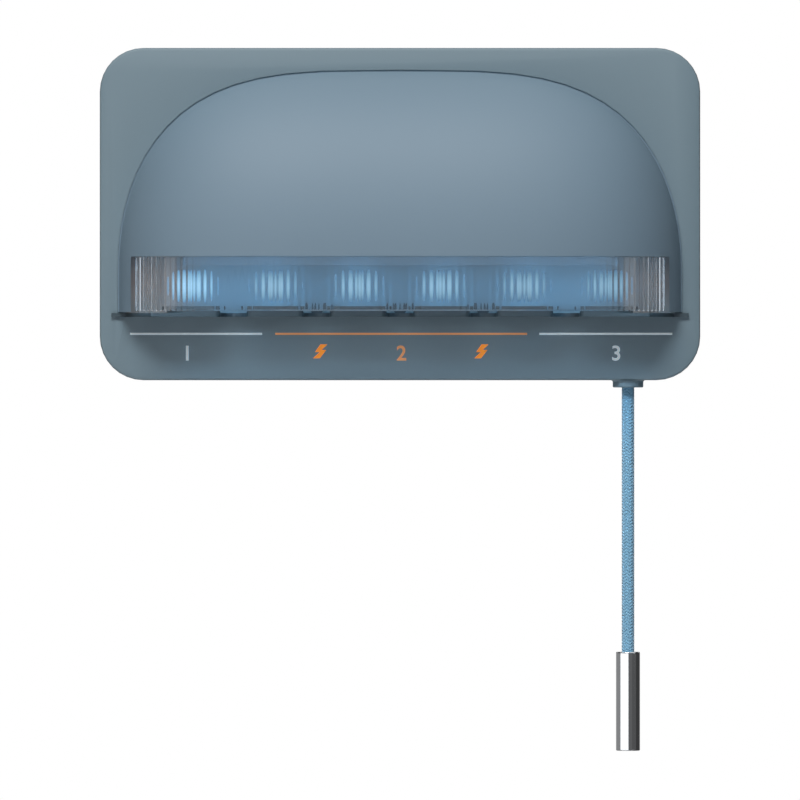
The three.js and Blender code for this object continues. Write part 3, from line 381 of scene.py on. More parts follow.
@dataclass(frozen=True)
class LitQuartz(Finish):
    """A frosted quartz window over a lit diode: brightest over the chip, dimmer to the rim."""

    core: str = "#a6cfe6"
    rim: str = "#5f8aac"
    glass: str = "#10161c"
    core_share: float = 0.2
    body_share: float = 0.72
    strength: float = 1.0
    pitch_mm: float = 28.5
    height_mm: float = -24.7
    radius_mm: float = 5.5

    def dress(self, tree: Tree, shader: Node, place: Socket) -> None:
        """Makes the window glow, round each lamp's own centre.

        Args:
            tree: The material's node tree.
            shader: The Principled node.
            place: The piece's own coordinates.
        """
        kind = "ShaderNodeVectorMath"
        span = {1: (self.pitch_mm * MM, 1, 1), 2: (0, -1, -1)}
        nearest = add_node(tree, kind, {"operation": "WRAP"}, span, {0: place}).outputs[0]
        size = per_metre(self.radius_mm)
        centre = (-self.pitch_mm / self.radius_mm / 2, 0, -self.height_mm / self.radius_mm)
        values = {1: (size, 0, size), 2: centre}
        scaled = add_node(tree, kind, {"operation": "MULTIPLY_ADD"}, values, {0: nearest}).outputs[0]
        radius = add_node(tree, kind, {"operation": "LENGTH"}, links={0: scaled}).outputs["Value"]
        ramp = add_node(tree, "ShaderNodeValToRGB", links={"Fac": radius})
        stops = ramp.color_ramp.elements
        stops[0].position, stops[0].color = self.core_share, linear(self.core)
        stops[1].position, stops[1].color = self.body_share, linear(self.colour)
        stops.new(1.0).color = linear(self.rim)
        tree.links.new(ramp.outputs["Color"], shader.inputs["Emission Color"])
        shader.inputs["Base Color"].default_value = linear(self.glass)
        shader.inputs["Emission Strength"].default_value = self.strength


@dataclass(frozen=True)
class Plating(Finish):
    """Plated metal, with the plating's slight mottle."""

    mottle_mm: float = 6
    mottle_share: float = 0.02

    def dress(self, tree: Tree, shader: Node, place: Socket) -> None:
        """Makes the shader a mottled metal."""
        shader.inputs["Metallic"].default_value = 1.0
        drift(tree, shader, place, self.colour, self.mottle_mm, self.mottle_share)


@dataclass(frozen=True)
class PolishedChrome(Plating):
    """Chrome plate on polished metal: a near mirror, with hard bright and dark bands."""


@dataclass(frozen=True)
class ZincPlate(Plating):
    """Zinc plate on steel: a cloudy grey that scatters its highlights."""

    mottle_share: float = 0.08
    grain_mm: float = 0.6
    depth_mm: float = 0.004

    def dress(self, tree: Tree, shader: Node, place: Socket) -> None:
        """Adds the zinc's crystals to the metal."""
        super().dress(tree, shader, place)
        grain(tree, shader, place, self.grain_mm, self.depth_mm)


@dataclass(frozen=True)
class BraidedPolyester(Finish):
    """Polyester yarn: fine parallel filaments with a soft sheen, and painted shade where a strand dives under
    another.
    """

    filament_share: float = 0.2  # of a strand's width
    filament_mm: float = 0.05
    filament_relief: float = 0.5
    waver: float = 1.2
    sheen_roughness: float = 0.5
    blotch_mm: float = 1.1
    painted_shade_from: float = 0.15
    painted_shade_to: float = 0.5
    painted_shade_tone: float = 0.35
    yarn_and_shade_share: float = 0.6
    dark: float = 0.84
    light: float = 1.24

    def dress(self, tree: Tree, shader: Node, place: Socket) -> None:
        """Adds filaments along each strand, and painted shade towards its edges, from the strand's own UV map.

        Args:
            tree: The material's node tree.
            shader: The Principled node.
            place: The piece's own coordinates.
        """
        shader.inputs["Sheen Weight"].default_value = 1.0
        shader.inputs["Sheen Roughness"].default_value = self.sheen_roughness
        strand = add_node(tree, "ShaderNodeUVMap", {"uv_map": STRAND_MAP}).outputs["UV"]
        settings = {"wave_type": "BANDS", "bands_direction": "Y"}
        scale = 1 / self.filament_share / FULL_TURN
        values = {"Scale": scale, "Distortion": self.waver, "Detail": 1.0, "Detail Scale": 2.0}
        wave = add_node(tree, "ShaderNodeTexWave", settings, values, {"Vector": strand}).outputs["Fac"]
        values = {"Scale": per_metre(self.blotch_mm), "Detail": 2.0}
        blotch = add_node(tree, "ShaderNodeTexNoise", values=values, links={"Vector": place}).outputs["Fac"]
        # Painted shade: each strand darkens towards its edges, where it dives under its neighbours.
        side = add_node(tree, "ShaderNodeSeparateXYZ", links={0: strand}).outputs["Y"]
        kind = "ShaderNodeMath"
        across = add_node(tree, kind, {"operation": "ABSOLUTE"}, links={0: side}).outputs[0]
        values = {"From Min": self.painted_shade_from, "From Max": self.painted_shade_to, "To Min": 1.0, "To Max": self.painted_shade_tone}
        smooth = {"interpolation_type": "SMOOTHSTEP"}
        edge = add_node(tree, "ShaderNodeMapRange", smooth, values, {"Value": across}).outputs[0]
        yarn = add_node(tree, kind, {"operation": "MULTIPLY"}, links={0: edge, 1: wave}).outputs[0]
        links = {0: yarn, 2: blotch}
        tone = add_node(tree, kind, {"operation": "MULTIPLY_ADD"}, {1: self.yarn_and_shade_share}, links).outputs[0]
        tones(tree, shader, tone, linear(self.colour, self.dark), linear(self.colour, self.light))
        relief(tree, shader, wave, self.filament_mm, self.filament_relief)


@dataclass(frozen=True)
class PadPrint(Finish):
    """Pad-printed ink: flat and dull, with the pad's faint speckle and a painted glow against the hood's shade.
    """

    speckle_mm: float = 0.5
    speckle_share: float = 0.08
    painted_glow: float = 0.0

    def dress(self, tree: Tree, shader: Node, place: Socket) -> None:
        """Adds the speckle and the painted glow.

        Args:
            tree: The material's node tree.
            shader: The Principled node.
            place: The piece's own coordinates.
        """
        # The emission is painted glow, which lifts the ink out of the shade under the hood.
        shader.inputs["Emission Color"].default_value = linear(self.colour)
        shader.inputs["Emission Strength"].default_value = self.painted_glow
        drift(tree, shader, place, self.colour, self.speckle_mm, self.speckle_share)


@dataclass(frozen=True)
class SolderMask(Finish):
    """Glass-epoxy board under green solder mask: copper tracks show as lighter lines."""

    track_mm: float = 2.4
    tracks_per_brick: int = 4
    track_width: float = 0.02
    stagger: float = 0.37
    squash: float = 0.6
    squash_rows: int = 3
    under_mask: Pair = (0.9, 1.1)
    over_track: float = 2.0

    def dress(self, tree: Tree, shader: Node, place: Socket) -> None:
        """Adds tracks as the mortar of a brick pattern that stands upright.

        Args:
            tree: The material's node tree.
            shader: The Principled node.
            place: The piece's own coordinates.
        """
        upright = {"Rotation": (QUARTER_TURN, 0.0, 0.0)}
        turned_up = add_node(tree, "ShaderNodeMapping", values=upright, links={"Vector": place})
        values = {
            "Color1": linear(self.colour, self.under_mask[0]),
            "Color2": linear(self.colour, self.under_mask[1]),
            "Mortar": linear(self.colour, self.over_track),
            "Scale": per_metre(self.track_mm) / self.tracks_per_brick,
            "Mortar Size": self.track_width,
        }
        settings = {"offset": self.stagger, "squash": self.squash, "squash_frequency": self.squash_rows}
        links = {"Vector": turned_up.outputs["Vector"]}
        bricks = add_node(tree, "ShaderNodeTexBrick", settings, values, links)
        tree.links.new(bricks.outputs["Color"], shader.inputs["Base Color"])


CASE_ABS = MouldedAbs("moulded_abs_case", "#7a8f99", 0.55)
HOOD_ABS = MouldedAbs("moulded_abs_hood", "#7c93a3", 0.6)
# The rack is the case's grey plastic; its dark colour is painted shade for the shadow under the hood.
RACK_ABS_PAINTED_SHADE = MouldedAbs("moulded_abs_rack_painted_shade", "#35464e", 0.5)
WHITE_ABS = MouldedAbs("moulded_white_abs", "#c9d4da", 0.45)
BLACK_ABS = MouldedAbs("moulded_black_abs", "#2b2e33", 0.45)
LENS_PC = ClearPolycarbonate("clear_ribbed_polycarbonate", "#e2f0fa", 0.05)
LAMP_QUARTZ = LitQuartz("lit_frosted_quartz", "#86b0c8", 0.4, strength=0.84)
DIM_QUARTZ = replace(LAMP_QUARTZ, name="dimly_lit_frosted_quartz", strength=0.74)
BRIGHT_QUARTZ = replace(LAMP_QUARTZ, name="brightly_lit_frosted_quartz", strength=1.25)
ZINC = ZincPlate("zinc_plated_steel", "#b4b7ba", 0.32)
CHROME = PolishedChrome("polished_chrome", "#d2d4d7", 0.07)
CORD_POLYESTER = BraidedPolyester("braided_polyester", "#84bddc", 0.75)
KNOT_POLYESTER = MeltedPolyester("melted_polyester", "#6a9dbb", 0.6)
# Each ink's emission is painted glow, which lifts the prints out of the shade under the hood.
WHITE_INK = PadPrint("white_pad_print", "#ecfaff", 0.5, painted_glow=0.16)
ORANGE_INK = PadPrint("orange_pad_print", "#f5a66c", 0.5, painted_glow=0.17)
BOLT_INK = PadPrint("bright_orange_pad_print_painted_glow", "#ff9226", 0.5, painted_glow=0.35)
GREEN_BOARD = SolderMask("solder_mask_board", "#1f5c3a", 0.35)
CELL_FILM = ShrinkFilm("shrink_film", "#3d6fb0", 0.3)
FOAM = FoamTape("closed_cell_foam", "#e4e6e6", 0.9)
GROMMET_RUBBER = MouldedRubber("moulded_rubber", "#8199a6", 0.62)
ACETAL = MouldedAcetal("moulded_acetal", "#e6e8e4", 0.35)
RED_NYLON = MouldedNylon("moulded_red_nylon", "#b8402f", 0.35)


def add_object(name: str, data: bpy.types.ID) -> bpy.types.Object:
    """Makes an object of some data and adds it to the scene.

    Args:
        name: The object's name.
        data: Its mesh, light, camera or curve.

    Returns:
        The object.
    """
    made = bpy.data.objects.new(name, data)
    bpy.context.scene.collection.objects.link(made)
    return made


def mesh_object(name: str, shape: Shape, unit: float = MM) -> bpy.types.Object:
    """Makes a mesh object and adds it to the scene.

    Args:
        name: The object's name.
        shape: Points and faces.
        unit: What one step of the points' numbers is in metres.

    Returns:
        The object.
    """
    points, faces = shape
    mesh = bpy.data.meshes.new(name)
    mesh.from_pydata([(x * unit, y * unit, z * unit) for x, y, z in points], [], faces)
    return add_object(name, mesh)


def tidy_mesh(piece: bpy.types.Object, crease_degrees: float = CREASE_DEGREES) -> None:
    """Welds a mesh, turns its faces outwards and shades it smooth up to a crease angle.

    Args:
        piece: The object.
        crease_degrees: Edges that turn more than this stay sharp.
    """
    build = bmesh.new()
    build.from_mesh(piece.data)
    bmesh.ops.remove_doubles(build, verts=build.verts, dist=WELD)
    bmesh.ops.dissolve_degenerate(build, edges=build.edges, dist=SLIVER)
    bmesh.ops.recalc_face_normals(build, faces=build.faces)
    for face in build.faces:
        face.smooth = True
    build.to_mesh(piece.data)
    build.free()
    piece.data.set_sharp_from_angle(angle=math.radians(crease_degrees))


def dress(piece: bpy.types.Object, finish: Finish) -> None:
    """Puts one finish on an object."""
    piece.data.materials.clear()
    piece.data.materials.append(finish.material())


def hang_piece(
    piece: bpy.types.Object,
    finish: Finish,
    body: Body,
    replaced: str | None = None,
    crease_degrees: float = CREASE_DEGREES,
) -> bpy.types.Object:
    """Cleans a piece's mesh, dresses it and hangs it on its body.

    Args:
        piece: The object.
        finish: What it is made of.
        body: The body that carries it.
        replaced: The CAD node that it stands for.
        crease_degrees: Edges that turn more than this stay sharp.

    Returns:
        The object.
    """
    tidy_mesh(piece, crease_degrees)
    dress(piece, finish)
    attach(piece, body.value)
    if replaced:
        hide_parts(replaced)
    log.info("%s rides on %s", piece.name, body.value)
    return piece


def carve(body: bpy.types.Object, shape: Shape) -> None:
    """Cuts a shape out of a mesh.

    Args:
        body: The object that is cut.
        shape: Points in millimetres and faces of what is cut away.
    """
    tool = mesh_object("carving_tool", shape)
    tidy_mesh(tool)
    modifier = body.modifiers.new("carve", "BOOLEAN")
    modifier.operation, modifier.solver, modifier.object = "DIFFERENCE", "EXACT", tool
    cut = bpy.data.meshes.new_from_object(body.evaluated_get(bpy.context.evaluated_depsgraph_get()))
    whole = body.data
    body.modifiers.clear()
    body.data = cut
    bpy.data.meshes.remove(whole)
    bpy.data.objects.remove(tool)


def crisp_shading() -> Tree:
    """Makes the modifier that shades a CAD solid smooth over its facets and sharp at its edges.

    Returns:
        The geometry node group.
    """
    name = "crisp_shading"
    made = bpy.data.node_groups.get(name)
    if made is not None:
        return made
    tree = bpy.data.node_groups.new(name, "GeometryNodeTree")
    for way in ("INPUT", "OUTPUT"):
        tree.interface.new_socket("Geometry", in_out=way, socket_type="NodeSocketGeometry")
    links = {"Geometry": add_node(tree, "NodeGroupInput").outputs["Geometry"]}
    welded = add_node(tree, "GeometryNodeMergeByDistance", values={"Distance": CAD_WELD}, links=links)
    kind = "GeometryNodeSetShadeSmooth"
    links = {"Geometry": welded.outputs["Geometry"]}
    smooth = add_node(tree, kind, {"domain": "FACE"}, {"Shade Smooth": True}, links)
    bend = add_node(tree, "GeometryNodeInputMeshEdgeAngle").outputs["Unsigned Angle"]
    settings = {"data_type": "FLOAT", "operation": "GREATER_THAN"}
    sharp = add_node(tree, "FunctionNodeCompare", settings, {1: math.radians(CREASE_DEGREES)}, {0: bend})
    links = {"Geometry": smooth.outputs["Geometry"], "Selection": sharp.outputs["Result"]}
    creased = add_node(tree, kind, {"domain": "EDGE"}, {"Shade Smooth": False}, links)
    add_node(tree, "NodeGroupOutput", links={"Geometry": creased.outputs["Geometry"]})
    return tree


def join_shapes(parts: Iterable[Shape]) -> Shape:
    """Joins several shapes into one.

    Args:
        parts: Points and faces of each part.

    Returns:
        All points, and faces that count on from part to part.
    """
    points: list[Point] = []
    faces: list[Face] = []
    for some_points, some_faces in parts:
        first = len(points)
        points.extend(some_points)
        faces.extend(tuple(first + corner for corner in face) for face in some_faces)
    return points, faces


def ring_faces(rings: int, sides: int) -> list[Face]:
    """Returns the faces between closed rings of points that follow each other.

    Args:
        rings: How many rings there are.
        sides: Points in each ring.

    Returns:
        The faces.
    """
    faces: list[Face] = []
    for first in range(0, (rings - 1) * sides, sides):
        for here in range(first, first + sides):
            there = here + 1 if here + 1 < first + sides else first
            faces.append((here, there, there + sides, here + sides))
    return faces


def tube_faces(rings: int, sides: int) -> list[Face]:
    """Returns the faces of a tube of closed rings, with both ends closed."""
    last = (rings - 1) * sides
    return [tuple(range(sides)), tuple(range(last, last + sides)), *ring_faces(rings, sides)]


def turned(profile: Sequence[Pair], sides: int, place: Callable[[float, float, float], Point]) -> Shape:
    """Turns a profile into a closed body.

    Args:
        profile: Pairs of radius and height, from the axis back to the axis, or round a ring's whole section.
        sides: Steps round the axis.
        place: Turns two lateral coordinates and the height into a point.

    Returns:
        Points and faces.
    """
    turns = [FULL_TURN * i / sides for i in range(sides)]
    points = [place(r * math.cos(turn), r * math.sin(turn), height) for r, height in profile for turn in turns]
    return points, ring_faces(len(profile), sides)


def arc(centre: Pair, wide: float, tall: float, start: float, end: float, steps: int = 8) -> list[Pair]:
    """Returns an arc for a profile.

    Args:
        centre: Its centre's radius and height.
        wide: Its half axis outwards.
        tall: Its half axis upwards.
        start: Where it starts, in degrees up from outwards.
        end: Where it ends.
        steps: Its number of steps.

    Returns:
        Pairs of radius and height.
    """
    turns = [math.radians(start + (end - start) * i / steps) for i in range(steps + 1)]
    return [(centre[0] + wide * math.cos(turn), centre[1] + tall * math.sin(turn)) for turn in turns]


def slab(outline: Sequence[Pair], out_from: float, out_to: float) -> Shape:
    """Makes a flat outline, drawn as seen from the front, into a closed plate.

    Args:
        outline: Pairs of x and z in millimetres.
        out_from: Distance from the wall of its back.
        out_to: Distance from the wall of its front.

    Returns:
        Points and faces.
    """
    points = [(x, -out, z) for out in (out_from, out_to) for x, z in outline]
    return points, tube_faces(2, len(outline))


def rectangle(left: float, low: float, right: float, high: float) -> list[Pair]:
    """Returns a rectangle's outline."""
    return [(left, low), (right, low), (right, high), (left, high)]


@dataclass(frozen=True)
class Softbox:
    """A rectangular soft light that looks at the case, in metres and watts."""

    name: str
    place: Point
    width: float
    height: float
    watts: float
    colour: str = "#ffffff"
    aim: Point = (0, 0, 0)
    spread_degrees: float = 180

    def build(self) -> bpy.types.Object:
        """Hangs the light.

        Returns:
            The light.
        """
        data = bpy.data.lights.new(self.name, "AREA")
        data.shape = "RECTANGLE"
        data.size, data.size_y = self.width, self.height
        data.energy = self.watts
        data.color = linear(self.colour)[:3]
        data.spread = math.radians(self.spread_degrees)
        lamp = add_object(self.name, data)
        lamp.location = self.place
        lamp.rotation_euler = (Vector(self.aim) - Vector(self.place)).to_track_quat("-Z", "Z").to_euler()
        return lamp


@dataclass
class Studio:
    """The camera, soft lights, reflection cards and pale floor, in metres and watts."""

    centre_height: float = -63.8 * MM
    face_out: float = 13 * MM
    distance: float = 6.0
    frame_width: float = 274.44 * MM
    sensor_mm: float = 36
    floor_height: float = -0.45
    floor_reach: float = 0.8
    floor_fade: float = 0.62
    floor_colour: str = "#f4f5f6"
    floor_glow: float = 0.25
    floor_sides: int = 96
    ambient: float = 0.04
    card_radius: float = 2.2
    card_steps: int = 12
    card_lift: float = 0.002
    softboxes: tuple[Softbox, ...] = (
        Softbox("key_light", (-0.25, -1.23, 1.43), 1.0, 0.5, 29.3),
        Softbox("low_fill_light", (0.1, -1.3, -0.9), 0.9, 0.9, 3.2, "#9cc3ff"),
        Softbox("back_left_light", (-1.3, 1.3, 0.5), 0.8, 0.8, 1.5),
        Softbox("back_right_light", (1.3, 1.3, 0.5), 0.8, 0.8, 1.5),
    )

    def build(self) -> None:
        """Builds the camera, lights, world, floor and reflection cards."""
        self.camera()
        for softbox in self.softboxes:
            softbox.build()
        self.world()
        self.floor()
        self.cards()
        bpy.context.scene.view_settings.view_transform = "Standard"
        log.info("studio is ready")

    def camera(self) -> None:
        """Sets a long lens square in front of the case, as the photograph's."""
        data = bpy.data.cameras.new("camera")
        data.sensor_width = self.sensor_mm
        data.lens = self.sensor_mm * self.distance / self.frame_width
        camera = add_object("camera", data)
        camera.location = (0, -self.face_out - self.distance, self.centre_height)
        camera.rotation_euler = (QUARTER_TURN, 0, 0)
        bpy.context.scene.camera = camera

    def world(self) -> None:
        """Sets a soft ambient light behind a white background."""
        world = bpy.data.worlds.new("studio")
        tree = empty_tree(world)
        soft, bright = [
            add_node(tree, "ShaderNodeBackground", values={"Color": WHITE, "Strength": strength}).outputs[0]
            for strength in (self.ambient, 1.0)
        ]
        mix = add_node(tree, "ShaderNodeMixShader", links={"Fac": self.seen_rays(tree), 1: soft, 2: bright})
        add_node(tree, "ShaderNodeOutputWorld", links={"Surface": mix.outputs[0]})
        bpy.context.scene.world = world

    def seen_rays(self, tree: Tree) -> Socket:
        """Tells the rays that show the background from those that light the object.

        Args:
            tree: The node tree that asks.

        Returns:
            A socket that is 1 for camera, glossy and transmission rays.
        """
        rays = add_node(tree, "ShaderNodeLightPath").outputs
        highest = {"operation": "MAXIMUM"}
        links = {0: rays["Is Camera Ray"], 1: rays["Is Glossy Ray"]}
        seen = add_node(tree, "ShaderNodeMath", highest, links=links).outputs[0]
        links = {0: seen, 1: rays["Is Transmission Ray"]}
        return add_node(tree, "ShaderNodeMath", highest, links=links).outputs[0]

    def floor(self) -> None:
        """Lays a pale floor well below the hanging weight, which fades into the white background."""
        turns = [FULL_TURN * i / self.floor_sides for i in range(self.floor_sides)]
        reach, height = self.floor_reach, self.floor_height
        rim = [(reach * math.cos(turn), reach * math.sin(turn), height) for turn in turns]
        floor = mesh_object("floor", (rim, [tuple(range(self.floor_sides))]), 1.0)
        made = bpy.data.materials.new("pale_floor")
        tree = empty_tree(made)
        values = {"Color": linear(self.floor_colour)}
        matt = add_node(tree, "ShaderNodeBsdfDiffuse", values=values).outputs[0]
        glow, white = [
            add_node(tree, "ShaderNodeEmission", values={"Color": WHITE, "Strength": strength}).outputs[0]
            for strength in (self.floor_glow, 1.0)
        ]
        both = add_node(tree, "ShaderNodeAddShader", links={0: matt, 1: glow}).outputs[0]
        place = add_node(tree, "ShaderNodeTexCoord").outputs["Object"]
        far = add_node(tree, "ShaderNodeVectorMath", {"operation": "LENGTH"}, links={0: place}).outputs["Value"]
        smooth = {"interpolation_type": "SMOOTHSTEP"}
        values = {"From Min": self.floor_fade, "From Max": self.floor_reach}
        fade = add_node(tree, "ShaderNodeMapRange", smooth, values, {"Value": far}).outputs[0]
        shown = add_node(tree, "ShaderNodeMixShader", links={"Fac": fade, 1: both, 2: white}).outputs[0]
        mix = add_node(tree, "ShaderNodeMixShader", links={"Fac": self.seen_rays(tree), 1: matt, 2: shown})
        add_node(tree, "ShaderNodeOutputMaterial", links={"Surface": mix.outputs[0]})
        floor.data.materials.append(made)

    def cards(self) -> None:
        """Sets reflection cards round the object, which only polished metal and gloss see.

        Each is a grey strip of a wide ring, from one bearing to another, upright or flat on the floor.
        Bearing 0 is straight in front and 90 is to the right.
        """
        foot, low, high, top = [(self.card_radius, height) for height in (-2.0, -0.08, 0.5, 2.0)]
        near, far = [(radius, self.floor_height + self.card_lift) for radius in (0.1, self.floor_reach)]
        self.card("card_left_back", -180, -78, foot, low, "#9c9c9c")
        self.card("card_left_back_high", -180, -70, low, top, "#242424")
        self.card("card_front_white", -78, 5, foot, low, "#ffffff", 1.6)
        self.card("card_front", 5, 40, foot, low, "#6e6e6e")
        self.card("card_right", 40, 84, foot, low, "#606060")
        self.card("card_right_back", 84, 140, foot, low, "#444444")
        self.card("card_back", 140, 180, foot, low, "#7c7c7c")
        self.card("card_right_back_high", 70, 180, low, top, "#242424")
        self.card("card_upper_front", -60, 60, low, high, "#5c6d7a")
        self.card("card_floor_left", -180, -60, near, far, "#8a8a8a")
        self.card("card_floor_front", 5, 48, near, far, "#747474")
        self.card("card_floor_right", 64, 150, near, far, "#4c4c4c")
        self.card("card_floor_back", 150, 180, near, far, "#7c7c7c")

    def card(
        self, name: str, start: float, end: float, inner: Pair, outer: Pair, grey: str, strength: float = 1.0
    ) -> None:
        """Makes one card of the ring.

        Args:
            name: The card's name.
            start: The bearing where it starts, in degrees.
            end: The bearing where it ends.
            inner: Radius and height of its first rim.
            outer: Radius and height of its second rim.
            grey: Its colour.
            strength: How brightly it shows.
        """
        points: list[Point] = []
        for i in range(self.card_steps + 1):
            bearing = math.radians(start + (end - start) * i / self.card_steps)
            for radius, height in (inner, outer):
                points.append((radius * math.sin(bearing), -radius * math.cos(bearing), height))
        faces = [(2 * i, 2 * i + 1, 2 * i + 3, 2 * i + 2) for i in range(self.card_steps)]
        card = mesh_object(name, (points, faces), 1.0)
        made = bpy.data.materials.new(name)
        tree = empty_tree(made)
        glow = add_node(tree, "ShaderNodeEmission", values={"Color": linear(grey), "Strength": strength})
        add_node(tree, "ShaderNodeOutputMaterial", links={"Surface": glow.outputs[0]})
        card.data.materials.append(made)
        for ray in ("camera", "diffuse", "transmission", "volume_scatter", "shadow"):
            setattr(card, f"visible_{ray}", False)


@dataclass
class PullCord:
    """The braided cord, its knot and hidden stretch, the weight and the grommet."""

    axis_x: float = 78.3
    axis_out: float = 6.9
    diameter: float = 4.25
    strands_each_way: int = 12
    lay_mm: float = 13
    strand_width: float = 0.76
    strand_thickness: float = 0.5
    strand_sides: int = 6
    weave_depth: float = 0.1
    weave_sharpness: float = 2
    crest: float = 0.08
    steps_per_crossing: int = 4
    core_inset: float = 0.1
    core_sides: int = 16
    route: tuple[float, ...] = (
        -0.0572, -0.0642, -0.0712, -0.0782, -0.0852, -0.0922, -0.0992, -0.1062,
        -0.1132, -0.1202, -0.1272, -0.1342, -0.1412, -0.1492, -0.1570,
    )
    exit_height: float = -0.0595
    bend_foot: float = -0.0652
    inner_top: float = -39.4
    turned_sides: int = 64
    weight_radius: float = 4.1
    weight_top: float = -150.3
    weight_bottom: float = -184.2
    weight_bore: float = 7.0
    bore_clearance: float = 0.35
    edge_radius: float = 0.35
    edge_break: float = 0.2
    flange_radius: float = 5.25
    flange_foot: float = 0.45
    flange_flare: float = 0.7
    flange_top: float = -57.02
    flange_bottom: float = -59.5
    mouth_radius: float = 4.6
    mouth_depth: float = 3.2
    bore_radius: float = 2.5
    neck_radius: float = 3.2
    neck_top: float = -54.7
    collar_radius: float = 3.8
    collar_top: float = -53.4
    knot_rings: int = 10
    knot_sides: int = 24
    knot_fullness: float = 0.45
    knot_share: float = 0.94
    knot_ripple: float = 0.06
    knot_ripple_turn: float = 9

    def build(self) -> None:
        """Builds every piece on the cord's axis."""
        weight = self.weight()
        cord = self.braid("braided_cord", self.route[0] / MM, self.route[-1] / MM)
        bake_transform(cord)
        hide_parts("pull_cord")
        inner = self.braid("inner_braid", self.inner_top, self.route[0] / MM)
        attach(inner, Body.SLIDER.value)
        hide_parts("cord_inner")
        self.knot()
        self.grommet()

    def at_axis(self, across: float, deep: float, height: float) -> Point:
        """Returns a point by its place from the cord's axis."""
        return (self.axis_x + across, -self.axis_out + deep, height)

    def braid(self, name: str, top: float, bottom: float) -> bpy.types.Object:
        """Braids a stretch of cord from strands that pass over and under each other, round a plain core.

        Args:
            name: The piece's name.
            top: Its upper end, in millimetres.
            bottom: Its lower end, in millimetres.

        Returns:
            The piece, on no body yet.
        """
        count = self.strands_each_way
        middle = self.diameter / 2 + self.crest - self.strand_thickness / 2 - self.weave_depth
        steps = round((top - bottom) * 2 * count / self.lay_mm * self.steps_per_crossing)
        parts: list[Shape] = []
        uvs: list[Pair] = []
        for way in (1, -1):
            for strand in range(count):
                path: list[Point] = []
                for i in range(steps + 1):
                    height = top + (bottom - top) * i / steps
                    angle = FULL_TURN * (strand / count + (top - height) / self.lay_mm) * way
                    over = way * math.tanh(self.weave_sharpness * math.cos(count / 2 * angle))
                    path.append((angle, middle + self.weave_depth * over, height))
                shape, some_uvs = self.strand(path)
                parts.append(shape)
                uvs += some_uvs
        core = middle - self.core_inset
        profile = [(0, top), (core, top), (core, bottom), (0, bottom)]
        piece = mesh_object(name, join_shapes([*parts, turned(profile, self.core_sides, self.at_axis)]))
        mesh = piece.data
        mesh.polygons.foreach_set("use_smooth", [True] * len(mesh.polygons))
        layer = mesh.uv_layers.new(name=STRAND_MAP)
        for loop in mesh.loops:
            layer.data[loop.index].uv = uvs[loop.vertex_index] if loop.vertex_index < len(uvs) else (0, 0)
        build = bmesh.new()
        build.from_mesh(mesh)
        bmesh.ops.recalc_face_normals(build, faces=build.faces)
        build.to_mesh(mesh)
        build.free()
        dress(piece, CORD_POLYESTER)
        log.info("%s has %d strands", name, 2 * count)
        return piece

    def strand(self, path: list[Point]) -> tuple[Shape, list[Pair]]:
        """Sweeps one flat strand round the cord.

        Args:
            path: Angle, radius and height of each step.

        Returns:
            Its points and faces, and a UV for each point: how far along, and how far round.
        """
        points: list[Point] = []
        uvs: list[Pair] = []
        slope = math.atan2(FULL_TURN * self.diameter / 2, self.lay_mm)
        wide = self.strand_width / math.cos(slope) / 2
        turns = [FULL_TURN * k / self.strand_sides for k in range(self.strand_sides)]
        for i, (angle, radius, height) in enumerate(path):
            for turn in turns:
                around = angle + wide * math.cos(turn) / radius
                reach = radius + self.strand_thickness / 2 * math.sin(turn)
                points.append(self.at_axis(reach * math.sin(around), -reach * math.cos(around), height))
                uvs.append((i / self.steps_per_crossing, math.cos(turn) / 2))
        return (points, tube_faces(len(path), self.strand_sides)), uvs

    def weight(self) -> bpy.types.Object:
        """Turns the chromed weight, with rounded ends and a bore for the cord.

        Returns:
            The piece.
        """
        radius, edge, chamfer = self.weight_radius, self.edge_radius, self.edge_break
        bottom, top = self.weight_bottom, self.weight_top
        bore, floor = self.diameter / 2 + self.bore_clearance, top - self.weight_bore
        profile = [(0, bottom), *arc((radius - edge, bottom + edge), edge, edge, -90, 0)]
        profile += [(radius, bottom + edge + chamfer), (radius, top - edge - chamfer)]
        profile += arc((radius - edge, top - edge), edge, edge, 0, 90)
        profile += [(bore + chamfer, top), (bore, top - chamfer), (bore, floor), (0, floor)]
        made = mesh_object("chromed_weight", turned(profile, self.turned_sides, self.at_axis))
        return hang_piece(made, CHROME, Body.CORD, "pull_weight")

    def grommet(self) -> None:
        """Turns the rubber grommet, which presses against the case with a hollow flare."""
        radius, foot, flare = self.flange_radius, self.flange_foot, self.flange_flare
        mouth, depth, bore = self.mouth_radius, self.mouth_depth, self.bore_radius
        low, top = self.flange_bottom, self.flange_top
        profile = arc((mouth, low + depth), mouth - bore, depth, 180, 270)
        profile += arc((radius - foot, low + foot), foot, foot, -90, 0)
        profile += arc((radius + flare, top - flare), flare, flare, 180, 90)
        profile += [(self.neck_radius, top), (self.neck_radius, self.neck_top)]
        profile += [(self.collar_radius, self.neck_top), (self.collar_radius - foot, self.collar_top)]
        profile += [(bore, self.collar_top), (bore, low + depth)]
        made = mesh_object("soft_grommet", turned(profile, self.turned_sides, self.at_axis))
        hang_piece(made, GROMMET_RUBBER, Body.CASE, "cord_grommet")

    def knot(self) -> None:
        """Makes the sealed lump that holds the cord in the slider."""
        low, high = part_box("cord_knot")
        bottom, top = low.z / MM, high.z / MM
        radius = (high.x - low.x) / 2 / MM * self.knot_share
        profile = [(0, bottom)]
        for i in range(1, self.knot_rings):
            share = i / self.knot_rings
            bulge = math.sin(math.pi * share) ** self.knot_fullness
            ripple = 1 + self.knot_ripple * math.sin(self.knot_ripple_turn * share)
            profile.append((radius * bulge * ripple, bottom + (top - bottom) * share))
        profile.append((0, top))
        made = mesh_object("sealed_cord_end", turned(profile, self.knot_sides, self.at_axis))
        hang_piece(made, KNOT_POLYESTER, Body.SLIDER, "cord_knot")


